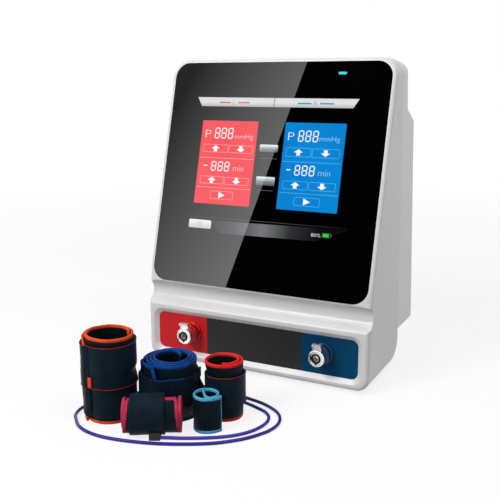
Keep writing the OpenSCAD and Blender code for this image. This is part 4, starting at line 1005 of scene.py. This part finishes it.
def stitch_tree():
    """One stitch after another along the line, each a little longer or shorter than the next."""
    sizes = {"Pitch": "Float", "Stitch": "Float", "Thread": "Float", "Seed": "Int", "Material": "Material"}
    tree, given = new_tree("stitches_along_line", sizes)
    curve = add(tree, "GeometryNodeMeshToCurve", Mesh=given["Line"])
    steps = add(tree, "GeometryNodeCurveToPoints", {"mode": "LENGTH"}, Curve=curve.outputs["Curve"],
        Length=given["Pitch"])
    turn = add(tree, "FunctionNodeAlignRotationToVector", {"axis": "X"}, Vector=steps.outputs["Tangent"])
    thread = add(tree, "GeometryNodeMeshUVSphere", Segments=6, Rings=5, Radius=0.5)
    lengthen = add(tree, "ShaderNodeCombineXYZ", X=given["Stitch"], Y=given["Thread"], Z=given["Thread"])
    shaped = add(tree, "GeometryNodeTransform", Geometry=thread.outputs["Mesh"],
        Scale=lengthen.outputs["Vector"])
    uneven = add(tree, "FunctionNodeRandomValue", {"data_type": "FLOAT"}, Seed=given["Seed"])
    for label, limit in (("Min", 0.86), ("Max", 1.08)):
        plug(next(s for s in uneven.inputs if s.name == label and s.type == "VALUE"), limit)
    row = add(tree, "GeometryNodeInstanceOnPoints", Points=steps.outputs["Points"],
        Instance=shaped.outputs["Geometry"], Rotation=turn.outputs["Rotation"],
        Scale=next(s for s in uneven.outputs if s.type == "VALUE"))
    return finish_tree(tree, row.outputs["Instances"], given["Material"])


tape, stitches = tape_tree(), stitch_tree()
print("tape inputs:", [s.name for s in tape.interface.items_tree if s.in_out == "INPUT"])

# %% [markdown]
# ### Cloth, tape and thread
# The cuff cloth is a dark, slightly shiny nylon. Close up it is a plain weave of half-millimetre threads;
# from further off one sees a soft sheen and a little lint. The tape is a coloured grosgrain: fine ribs
# across its length. The cloth reads the piece's own UV map, so that its threads follow the roll; the tape
# reads its place in space, because its ribs are too fine for a turn of the tape to show.

# %% Cloth finish
def woven(name, colour, shade, thread=0.00055, rough=(0.46, 0.62), sheen=0.12):
    """A plain weave that follows the cloth, over clouds of slightly different shade."""
    material, tree, place = blank(name)
    flat = add(tree, "ShaderNodeUVMap", {"uv_map": "cloth_mm"}).outputs["UV"]
    warp, weft = (add(tree, "ShaderNodeTexWave", {"bands_direction": way}, Vector=flat, Scale=0.314 / thread,
        Distortion=0.6, Detail=1.0, Detail_Scale=1.0).outputs["Fac"] for way in "XY")
    cross = calculate(tree, "MULTIPLY", warp, weft)
    clouds = speckle(tree, place, 55.0, 5.0, Roughness=0.6)
    mixed = calculate(tree, "MULTIPLY_ADD", cross, 0.25, clouds)
    wrinkle = speckle(tree, place, 190.0, 4.0, Roughness=0.6, Distortion=0.4)
    grain = relief(tree, wrinkle, 0.35, 0.0009, Normal=relief(tree, cross, 0.5, 0.00018))
    hue = shades(tree, mixed, (0.34, shade), (0.82, colour))
    gloss = remap(tree, mixed, (0.3, 0.9), (rough[1], rough[0]))
    surface(tree, Base_Color=hue, Roughness=gloss, Normal=grain, Specular_IOR_Level=0.13,
        Specular_Tint=(0.5, 0.8, 1.0, 1.0), Sheen_Weight=sheen, Sheen_Roughness=0.4,
        Sheen_Tint=(0.45, 0.75, 0.9, 1.0))
    return material


def ribbed(name, colour, shade):
    """Coloured binding tape with fine ribs and a slightly worn, uneven dye."""
    return finish(name, colour, shade, 90, (0.5, 0.72), 1500, 0.35, (1, 1, 0.35), 0.0004,
        Specular_IOR_Level=0.14, Sheen_Weight=0.02, Sheen_Roughness=0.5)


nylon = woven("cuff_nylon", (10, 21, 31), (2, 7, 13), sheen=0.04)
strap_nylon = woven("strap_nylon", (16, 32, 46), (4, 12, 20), 0.0007, sheen=0.06)
edges = {
    "orange": ribbed("orange_tape", (255, 96, 40), (240, 78, 28)),
    "blue": ribbed("blue_tape", (0, 82, 168), (0, 48, 118)),
    "red": ribbed("red_tape", (250, 50, 42), (226, 34, 32)),
    "cyan": ribbed("cyan_tape", (96, 198, 234), (70, 172, 214)),
    "pink": ribbed("pink_tape", (212, 56, 92), (172, 36, 68)),
}
# The piping's red is its own; that it is darker and duller than the red tape is painted shade, the look it has
# in shadow.
red_piping_painted_dark = ribbed("red_piping_painted_shade", (150, 44, 50), (108, 26, 34))
print("cloth finishes:", len(edges) + 3)

# %% [markdown]
# ### Putting a cuff together
# One function makes what all cuffs share: the cloth, the tape at its top and bottom, the bar of tape that
# closes the outer end, and the seam stitches under the top tape. The strap is a second wall of cloth outside
# the first, and is made right after it, because its place and height differ from cuff to cuff.

# %% One cuff
def edge_line(run, t, z, seed, soft, wave, high, creases=(), press=(), draw=(), flare=(), full=(0, 1),
        step=1.4):
    """The line of a tape or thread at side t and height z, after the bulge."""
    a, b = full[0] * run.length, full[1] * run.length
    s = np.linspace(a, b, max(3, round((b - a) / step)) + 1)
    level = drawn(np.full(len(s), float(z)), s / run.length, high, draw)
    side = t + np.zeros(len(s)) + flared(level, s / run.length, high, flare)
    xy = run.at(s, 0) + (run.at(s, 1) - run.at(s, 0)) * side[:, None]
    moved = stand_out(xy, level, seed, soft, creases, press)
    return np.column_stack([moved, level + rim_wave(xy, seed, wave) * z / high])


def join(name, pieces):
    """Several meshes as one piece."""
    whole, kept = bmesh.new(), []
    for piece in pieces:
        kept += [each for each in piece.data.materials if each not in kept]
        before = len(whole.faces)
        whole.from_mesh(piece.data)
        whole.faces.ensure_lookup_table()
        for face in whole.faces[before:]:
            face.material_index = kept.index(piece.data.materials[face.material_index])
    mesh = bpy.data.meshes.new(name)
    whole.to_mesh(mesh)
    whole.free()
    for piece in pieces:
        bpy.data.objects.remove(piece)
    return new_piece(name, mesh, *kept)


def edging(name, run, high, thick, colour, place, look, wave, bar, cut):
    """Tape at the top and bottom of a cuff and the bar that closes its outer end, as one piece."""
    sizes = {"Width": thick * 0.76, "Height": tape_h, "Corner": thick * 0.34, "Material": colour}
    made = []
    for label, z, w, short in (("top", high - tape_h / 2, wave, cut[0]), ("low", tape_h / 2, 0.0, 0)):
        line = edge_line(run, thick / 2, z, wave=w, high=high, full=(0, 1 - short / run.length), **look)
        made.append(stand(grow(f"{name}_{label}", tape, line, sizes), colour, place))
    made.append(cloth_wall(f"{name}_bar", run, thick * 0.06, thick * 0.94, tape_h - 1, high - tape_h + 1,
        colour, place, wave=wave, full=(1 - bar / run.length, 1), cut=cut, all_cut=True, rows=bar_row_step,
        pucker=0.0, **look))
    return join(name, made)


seam_in, seam_below = 0.2, 3.1


def cuff(colour, path, high, place, look, thick=tape_t, cloth=cloth_t, wave=0.5, bar=4.5, cut=(0.0, 1.0)):
    """The cloth and edging of one rolled cuff, riding on its own body and standing for its CAD solids."""
    run = Run(path)
    gap = (thick - cloth) / 2 + 0.3
    share = 1 - bar / run.length
    dye = edges[colour]
    sleeve = cloth_wall(f"{colour}_sleeve", run, gap, thick - gap, tape_h - 1, high - tape_h + 1, nylon,
        place, wave=wave, full=(0, share), cut=cut, **look)
    rim = edging(f"{colour}_edging", run, high, thick, dye, place, look, wave, bar, cut)
    seam = edge_line(run, thick - seam_in, high - seam_below, wave=wave, high=high,
        full=(0.05, share - cut[0] / run.length), **look)
    sizes = {"Pitch": 3.4, "Stitch": 2.5, "Thread": 0.42, "Seed": 7, "Material": dye}
    row = stand(grow(f"{colour}_stitches", stitches, seam, sizes), dye, place)
    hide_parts(f"{colour}_cuff")
    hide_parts(f"{colour}_binding")
    for piece, slot in ((sleeve, "cuff_cloth"), (rim, f"{colour}_edge"), (row, f"{colour}_edge")):
        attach(piece, f"{colour}_roll")
    print(colour, "cuff: strip", round(run.length), "x", high, "mm,", len(sleeve.data.polygons), "faces")
    return sleeve


def strap(name, path, z0, z1, place, look, t0=0.4, t1=0.4 + strap_t, **more):
    """A tie strap wound round a cuff."""
    run = Run(path)
    return run, cloth_wall(name, run, t0, t1, z0, z1, strap_nylon, place, **more, **look)


def piping(name, run, z, high, full, dye, place, look, side=0.4 + strap_t, diameter=1.2):
    """A round bead along a strap at height z."""
    line = edge_line(run, side, z, high=high, wave=0.5, full=full, **look)
    return stand(grow(name, tube, line, {"Diameter": diameter, "Sides": 8, "Material": dye}), dye, place)


def declare_strap(piece, colour, extra=()):
    """Hides the strap's CAD solid and lets the strap, its piping and its tab ride with its roll."""
    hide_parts(f"{colour}_strap")
    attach(piece, f"{colour}_roll")
    for each in extra:
        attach(each, f"{colour}_roll")


def cut_away(piece, low, high, place):
    """Cuts a window with a box between two corners, given in the millimetres that place understands."""
    block = bmesh.new()
    bmesh.ops.create_cube(block, size=1)
    corners = np.array([[low[k] + (high[k] - low[k]) * (v.co[k] + 0.5) for k in range(3)]
        for v in block.verts])
    for v, spot in zip(block.verts, place(corners)):
        v.co = spot
    mesh = bpy.data.meshes.new("cutter")
    block.to_mesh(mesh)
    block.free()
    cutter = new_piece("cutter", mesh)
    modifier = piece.modifiers.new("window", "BOOLEAN")
    modifier.object, modifier.operation, modifier.solver = cutter, "DIFFERENCE", "EXACT"
    made = applied(piece)
    piece.modifiers.clear()
    piece.data = made
    bpy.data.objects.remove(cutter)


print("a strap is", strap_t, "mm thick and its tape", tape_h, "mm high")

# %% [markdown]
# ### Orange cuff
# The tallest cuff stands at the left. Its strap is wound in two heights: a wide one round the upper half and
# a thinner one below, with a dull red piping along the edges and an orange tab where it ends. A window is
# cut where the air nipple comes through.

# %% Orange cuff
orange_high, orange_in, orange_wound, orange_start = 100, 22.8, 1.6, -696
orange_band_low, orange_band_mid, orange_band_top = 8, 42, 91
orange_end = orange_start + 360 * orange_wound
nipple_turn = math.radians(orange_start + 35.5 * 360 / turn_steps)
orange_place = standing(-92.8, -183)
orange_path = spiral(orange_in, 0, orange_wound, orange_start)
orange_path += [ray(orange_in + turn_pitch * (orange_wound + a / 360), orange_end + a) for a in (4, 8)]
orange_tie = strap_spiral(orange_in, orange_wound, 1.1, orange_start)
orange_look = dict(seed=2.0, soft=0.8, press=[(207, 4.4, 52, 34, 0)], creases=[(63, 0.4, 285, 60),
    (74, 0.35, 200, 50), (24, 0.35, 300, 55), (84, 0.25, 330, 40), (55, 3.4, 20, 30, 5),
    (44, -0.8, 20, 26, 2.5)])
orange_turns = dict(orange_look, draw=[(-1, 0, -0.8, "top"), (0.3, 0.66, 1.8, "top")])
cuff("orange", orange_path, orange_high, orange_place, orange_turns, wave=0.7, cut=(14, 6), bar=4.6)
tie_run, tie = strap("orange_tie", orange_tie, orange_band_mid, orange_band_top, orange_place, orange_look,
    full=(0, 0.96), settle=(1.9, 8, 1.2))
_, tie_low = strap("orange_tie_low", orange_tie, orange_band_low, orange_band_mid + 0.6, orange_place,
    orange_look, t1=0.4 + strap_t * 0.6, full=(0, 0.97), settle=(1.9, 8, 0.5))


def at_nipple(co):
    """Millimetres from the roll's axis toward its air nipple, beside it and up, as the model's metres."""
    c, s = math.cos(nipple_turn), math.sin(nipple_turn)
    x, y = co[:, 0], co[:, 1]
    return orange_place(np.column_stack([x * c - y * s, x * s + y * c, co[:, 2]]))


nipple_low, nipple_high = (20, -11, 11), (50, 11, 29)
cut_away(tie_low, nipple_low, nipple_high, at_nipple)
tie = join("orange_tie", [tie, tie_low])
beads = [piping(f"orange_piping_{k}", tie_run, z, orange_high, (0, 0.93), red_piping_painted_dark, orange_place,
    orange_look, side=0.3 + strap_t) for k, z in enumerate((orange_band_top - 0.4, orange_band_mid + 0.3))]
bead = join("orange_piping", beads)
tab = cloth_wall("orange_tab", tie_run, -1.4, 0.8, 43, 55, edges["orange"], orange_place,
    full=(0.958, 0.984), **orange_look)
declare_strap(tie, "orange", [bead, tab])
print("orange tie", round(tie_run.length), "mm")

# %% [markdown]
# ### Blue cuff
# The blue cuff is rolled three times round. Its inner end stands loose in the middle, and the outer end
# stands off at the left with a soft corner before it comes to the front, where the strap holds it.

# %% Blue cuff
band_low, band_top = 18.5, 53
blue_high, blue_in, blue_wound, blue_start = 68, 18.6, 3.233, 130
blue_place = standing(-31.4, -144.2)
blue_path = [(6, 9), (1.5, 12.8), (-4, 15.4), (-9, 16)] + spiral(blue_in, 0, blue_wound, blue_start)
blue_path += [(-26.9, -20), (-25.2, -23.2), (-15.8, -28.8), (-6, -32.8), (4, -33.2)]
blue_tie = spiral(blue_in + tape_t, 2.7, 3.2, blue_start)
blue_tie += [(-30.3, -20.6), (-27.7, -26), (-17.4, -31.9), (-7.2, -36.4), (-1, -37.1), (5.5, -36.9),
    (10.5, -34)]
blue_tie += [ray(32.2 + (a - 298) * 0.014, a) for a in range(298, 371, 12)]
blue_tie += [ray(35 + (a - 379) * 0.03, a) for a in range(379, 394, 7)]
blue_look = dict(seed=5.0, soft=0.5, press=[(26, 4.8, 48, 36, 44), (206, 1.2, 40, 36, 0)],
    creases=[(30, 0.3, 300, 50), (44, 0.25, 240, 40)])
# each turn stands a little lower than the one inside it
lowered = [(k, k + 0.26, 1.05, "top") for k in (0.06, 0.34, 0.66)]
blue_turns = dict(blue_look, draw=[(-1, 0, -1.8, "top")] + lowered)
cuff("blue", blue_path, blue_high, blue_place, blue_turns, wave=0.6, cut=(5.5, 22), bar=4.0)
tie_run, tie = strap("blue_tie", blue_tie, band_low, band_top, blue_place, blue_look, full=(0, 0.978))
bead = piping("blue_piping", tie_run, band_top - 0.2, blue_high, (0.69, 0.82), edges["blue"], blue_place,
    blue_look)
tab = cloth_wall("blue_tab", tie_run, 0.2, strap_t + 0.9, 43, 55, edges["blue"], blue_place,
    full=(0.98, 1.0), **blue_look)
declare_strap(tie, "blue", [bead, tab])
print("blue tie", round(tie_run.length), "mm")

# %% [markdown]
# ### Red cuff
# The red cuff is about as high as the blue one but rolled tighter, with its strap end at the right.

# %% Red cuff
red_high, red_in, red_wound, red_start = 68.5, 13.6, 1.6, -71
red_place = standing(26.6, -124.6)
red_look = dict(seed=8.0, soft=0.6, creases=[(36, 0.3, 290, 60), (47, 0.25, 250, 50),
    (70, -3.0, 207, 60, 12)])
red_turns = dict(red_look, draw=[(-1, 0, -0.6, "top"), (0.25, 0.66, 1.2, "top")])
cuff("red", spiral(red_in, 0, red_wound, red_start), red_high, red_place, red_turns, bar=4.0)
tie_run, tie = strap("red_tie", strap_spiral(red_in, red_wound, 1.04, red_start), band_low, band_top,
    red_place, red_look, settle=(1.2, 4, 0.8))
bead = piping("red_piping", tie_run, band_top - 0.2, red_high, (0.23, 0.66), red_piping_painted_dark, red_place, red_look,
    diameter=1.1)
declare_strap(tie, "red", [bead])
print("red tie", round(tie_run.length), "mm")

# %% [markdown]
# ### Cyan cuff
# The smallest cuff is thinner. Its inner end crosses the open middle and its outer end flares away to the
# right, so its tape shows as an S in plan.

# %% Cyan cuff
cyan_high, cyan_in, cyan_pitch, cyan_start = 42, 10.8, 3, -45
cyan_place = standing(26.4, -164.6)
cyan_path = [(-7.4, 6.7), (-4.2, 2.9), (-1.2, -0.9), (1.6, -4.1), (4.6, -6.8)]
cyan_path += spiral(cyan_in, 0, 1, cyan_start, cyan_pitch)
cyan_path += [ray(cyan_in + 3.1 + ((a + 44) / 48) ** 2 * 2.6, a) for a in range(-36, 5, 8)]
cyan_look = dict(seed=11.0, soft=0.5, creases=[(33, 0.5, 270, 70), (29, 0.35, 300, 50), (12, 0.3, 260, 60)])
cuff("cyan", cyan_path, cyan_high, cyan_place, cyan_look, thick=2.6, cloth=2.3, wave=0.4, bar=1.2)

# %% [markdown]
# ### Pink cuff
# The pink cuff lies on its side, turned a little, so its open end faces right. Where it lies on the table
# the layers are pressed flat instead of sinking into it: everything in the lowest few millimetres is
# squeezed together. Its last turn is drawn in from both ends, so the tape of the turn below stands out
# beside it. A pocket is cut for the port block that the hose comes from.

# %% Pink cuff
pink_long, pink_in, pink_wound, pink_start = 64.4, 10.5, 1.6, 229
pink_at, pink_turn, pink_axis_z = (-19.9, -203.6), math.radians(29), 22.4
pink_wide, pink_tall = 0.96, 1.07
port_at, port_turn = (-11, -212.4), math.radians(25)
port_low, port_high = (-6.35, -5.85, -1), (6.35, 4.85, 9.35)
pressed_below, pressed_from, pressed_to = 3.0, -2.0, 0.05


def swung(co, middle, angle):
    """Places turned in plan about a middle and moved there."""
    c, s = math.cos(angle), math.sin(angle)
    x, y = co[:, 0], co[:, 1]
    return np.column_stack([middle[0] + x * c - y * s, middle[1] + front_y + x * s + y * c, co[:, 2]])


def lying(co):
    """A roll that lies on its side: its own z runs along its axis, and it is wound the other way round, up
    its front. What would lie below the table is squeezed into the lowest few millimetres."""
    level = co[:, 2] - pink_long / 2
    flat = swung(np.column_stack([level, -co[:, 0], pink_axis_z + co[:, 1]]), pink_at, pink_turn)
    low = flat[:, 2] < pressed_below
    height = np.clip(flat[low, 2], pressed_from, pressed_below) - pressed_from
    share = height / (pressed_below - pressed_from)
    flat[low, 2] = pressed_to + share * (pressed_below - pressed_to)
    return flat / 1000


def at_port(co):
    """Millimetres about the port block as the model's metres."""
    return swung(co, port_at, port_turn) / 1000


def pressed(points):
    """A roll in plan, a little narrower and taller than round."""
    return [(x * pink_wide, y * pink_tall) for x, y in points]


pink_path = pressed(spiral(pink_in, 0, pink_wound, pink_start))
pink_tie = pressed(strap_spiral(pink_in, pink_wound, 1.07, pink_start))
pink_look = dict(seed=14.0, soft=0.7, creases=[(20, 0.3, 200, 60), (42, 0.3, 160, 60)])
pink_ends = dict(pink_look, draw=[(0.66, 0.94, 4.0), (0.95, 1.0, 2.5)],
    flare=[(0.05, 0.26, 0.36, 0.54, 3.6, 4.5)])
sleeve = cuff("pink", pink_path, pink_long, lying, pink_ends, wave=0.4, bar=4.0)
tie_run, tie = strap("pink_tie", pink_tie, pink_long / 2 - 24, pink_long / 2 + 14, lying, pink_look, t1=1.7)
for piece in (sleeve, tie):
    cut_away(piece, port_low, port_high, at_port)
declare_strap(tie, "pink")
print("pink tie", round(tie_run.length), "mm")

# %% [markdown]
# ## Floor, light and what the glass reflects
# The photograph has a white ground. The floor is white by its own colour: for the camera it gives off part
# of its light and takes the rest from the lamps, so the soft shadow of the object stays. What it throws back
# on to the object is that of grey paper, because the photograph keeps the undersides dark. A plain white
# floor would be simpler, but it would light the object from below.

# %% Floor
def eye_rays(tree):
    """1 where the camera looks, straight or through a gloss or a clear body, and 0 for light on its way."""
    seen = add(tree, "ShaderNodeLightPath").outputs
    either = calculate(tree, "MAXIMUM", seen["Is Camera Ray"], seen["Is Glossy Ray"])
    return calculate(tree, "MAXIMUM", either, seen["Is Transmission Ray"])


def choose(tree, share, first, second):
    """One shader or the other."""
    return in_order(tree, "ShaderNodeMixShader", None, share, first.outputs[0], second.outputs[0])


dark_grey, light_grey, bounce_grey = (0.225, 0.225, 0.226, 1), (0.235, 0.235, 0.235, 1), (0.28, 0.28, 0.28,
    1)
glow_near, glow_far, glow_reach = 0.80, 0.95, (0.3, 3.2)


def floor_finish():
    """White ground: grey for the light it throws back, with a light of its own for the camera."""
    material, tree, place = blank("white_ground")
    hue = add(tree, "ShaderNodeValToRGB", Fac=speckle(tree, place, 3.0, 2.0))
    hue.color_ramp.elements[0].color = dark_grey
    hue.color_ramp.elements[1].color = light_grey
    direct = add(tree, "ShaderNodeBsdfDiffuse", Color=hue.outputs["Color"])
    bounced = add(tree, "ShaderNodeBsdfDiffuse", Color=bounce_grey)
    shine = choose(tree, add(tree, "ShaderNodeLightPath").outputs["Is Diffuse Ray"], direct, bounced)
    from_middle = measure(tree, "LENGTH", place)
    strength = remap(tree, from_middle, glow_reach, (glow_near, glow_far), "SMOOTHSTEP")
    light = add(tree, "ShaderNodeEmission", Color=(1, 1, 1, 1), Strength=strength)
    nothing = add(tree, "ShaderNodeEmission", Color=(0, 0, 0, 1), Strength=0.0)
    own = choose(tree, eye_rays(tree), nothing, light)
    total = in_order(tree, "ShaderNodeAddShader", None, shine.outputs[0], own.outputs[0])
    add(tree, "ShaderNodeOutputMaterial", Surface=total.outputs[0])
    return material


def flat_sheet(name, corners, material):
    """A sheet that is part of the photographer's stage."""
    mesh = bpy.data.meshes.new(name)
    mesh.from_pydata([tuple(c) for c in corners], [], [tuple(range(len(corners)))])
    piece = new_piece(name, mesh, material)
    return piece


half = 12
flat_sheet("ground", [(-half, -half, 0), (half, -half, 0), (half, half, 0), (-half, half, 0)],
    floor_finish())
print("floor", 2 * half, "m wide")

# %% [markdown]
# ### World
# The even light that comes from all round is kept weaker than the white that the camera sees behind the
# floor. One switch does both: it asks whether a ray comes from the camera or is light on its way.

# %% World
world = bpy.data.worlds.new("studio")
scene.world = world
world.use_nodes = True
sky = world.node_tree
sky.nodes.clear()
all_round, behind = 0.36, 1.0
even_light = add(sky, "ShaderNodeBackground", Color=(1, 1, 1, 1), Strength=all_round)
white_back = add(sky, "ShaderNodeBackground", Color=(1, 1, 1, 1), Strength=behind)
shown = choose(sky, eye_rays(sky), even_light, white_back)
add(sky, "ShaderNodeOutputWorld", Surface=shown.outputs[0])
print("world light", all_round, "and for the camera", behind)

# %% [markdown]
# ### Lamps
# In the photograph the front of the console is lit softly and evenly, and its right side is darker. So one
# large soft lamp stands high at the front left, and a weaker one high at the right shapes that side.

# %% Lamps
def lamp(name, location, target, size, power):
    """A round soft lamp that looks at its target."""
    data = bpy.data.lights.new(name, "AREA")
    data.shape, data.size, data.energy = "DISK", size, power
    piece = new_piece(name, data)
    piece.location = location
    piece.rotation_euler = (Vector(target) - Vector(location)).to_track_quat("-Z", "Y").to_euler()
    return piece


key_lamp = lamp("key_lamp", (-0.75, -1.6, 1.5), (0, 0, 0.15), 1.0, 26)
side_lamp = lamp("top_lamp", (0.75, -0.25, 1.6), (0, 0, 0.1), 0.9, 5.5)
print("lamps", key_lamp.data.energy, side_lamp.data.energy, "W")

# %% [markdown]
# ### Boards
# The black glass shows what lies in front of it. Two boards that only reflections see stand there: a dark
# one, which keeps the glass black, and a pale one whose edge draws the slanting light across the left part
# of the screen. To find where a board must stand, the camera is mirrored in the glass. A line from the
# mirrored camera through a point of the glass goes to what that point reflects, so the two ends of the
# slanting edge on the glass give the edge of the boards.

# %% Boards
mirror_point, normal = on_glass(0, 150), off_glass.normalized()
eye = Vector(camera.location)
mirrored = eye - 2 * (eye - mirror_point).dot(normal) * normal
toward = (mirror_point - mirrored).normalized()
board_far = 1.5


def reflected(u, v):
    """The place on the boards' plane that the glass shows at u, v."""
    way = on_glass(u, v) - mirrored
    return mirrored + way * ((mirror_point + toward * board_far - mirrored).dot(toward) / way.dot(toward))


def board_finish(name, way, light, span):
    """A board whose light runs evenly from one strength to another along a way."""
    material, tree, place = blank(name)
    strength = remap(tree, measure(tree, "DOT_PRODUCT", place, way), span, light)
    glow = add(tree, "ShaderNodeEmission", Color=(1, 1, 1, 1), Strength=strength)
    add(tree, "ShaderNodeOutputMaterial", Surface=glow.outputs[0])
    return material


# the slanting edge as it is seen on the glass
edge_top, edge_low = reflected(39.3, 296.8), reflected(-39.2, 0.9)
edge_way = (edge_top - edge_low).normalized()
side_way = edge_way.cross(toward).normalized()
if (reflected(-120, 150) - edge_low).dot(side_way) < 0:
    side_way = -side_way
# the board fades away from its edge and a little along it
fading = side_way + edge_way * (0.13 / (edge_top - edge_low).length)
edge_at, fade_over = edge_low.dot(fading), 0.43
light_at_edge, light_beyond, darkness = 3.75, 0.45, 0.004
pale = board_finish("pale_board", fading, (light_at_edge, light_beyond), (edge_at, edge_at + fade_over))
black = board_finish("black_board", side_way, (darkness, darkness), (0, 1))
top_end, low_end = edge_top + edge_way * 0.4, edge_low - edge_way * 0.3
for name, wide, material in (("pale_board", 0.75, pale), ("black_board", -0.9, black)):
    beside = side_way * wide
    board = flat_sheet(name, [low_end, top_end, top_end + beside, low_end + beside], material)
    for kind in ("camera", "diffuse", "shadow", "transmission", "volume_scatter"):
        setattr(board, "visible_" + kind, False)
board_middle = mirror_point + toward * board_far
print("board centre", [round(x, 2) for x in board_middle], "edge from", [round(x, 2) for x in edge_low])
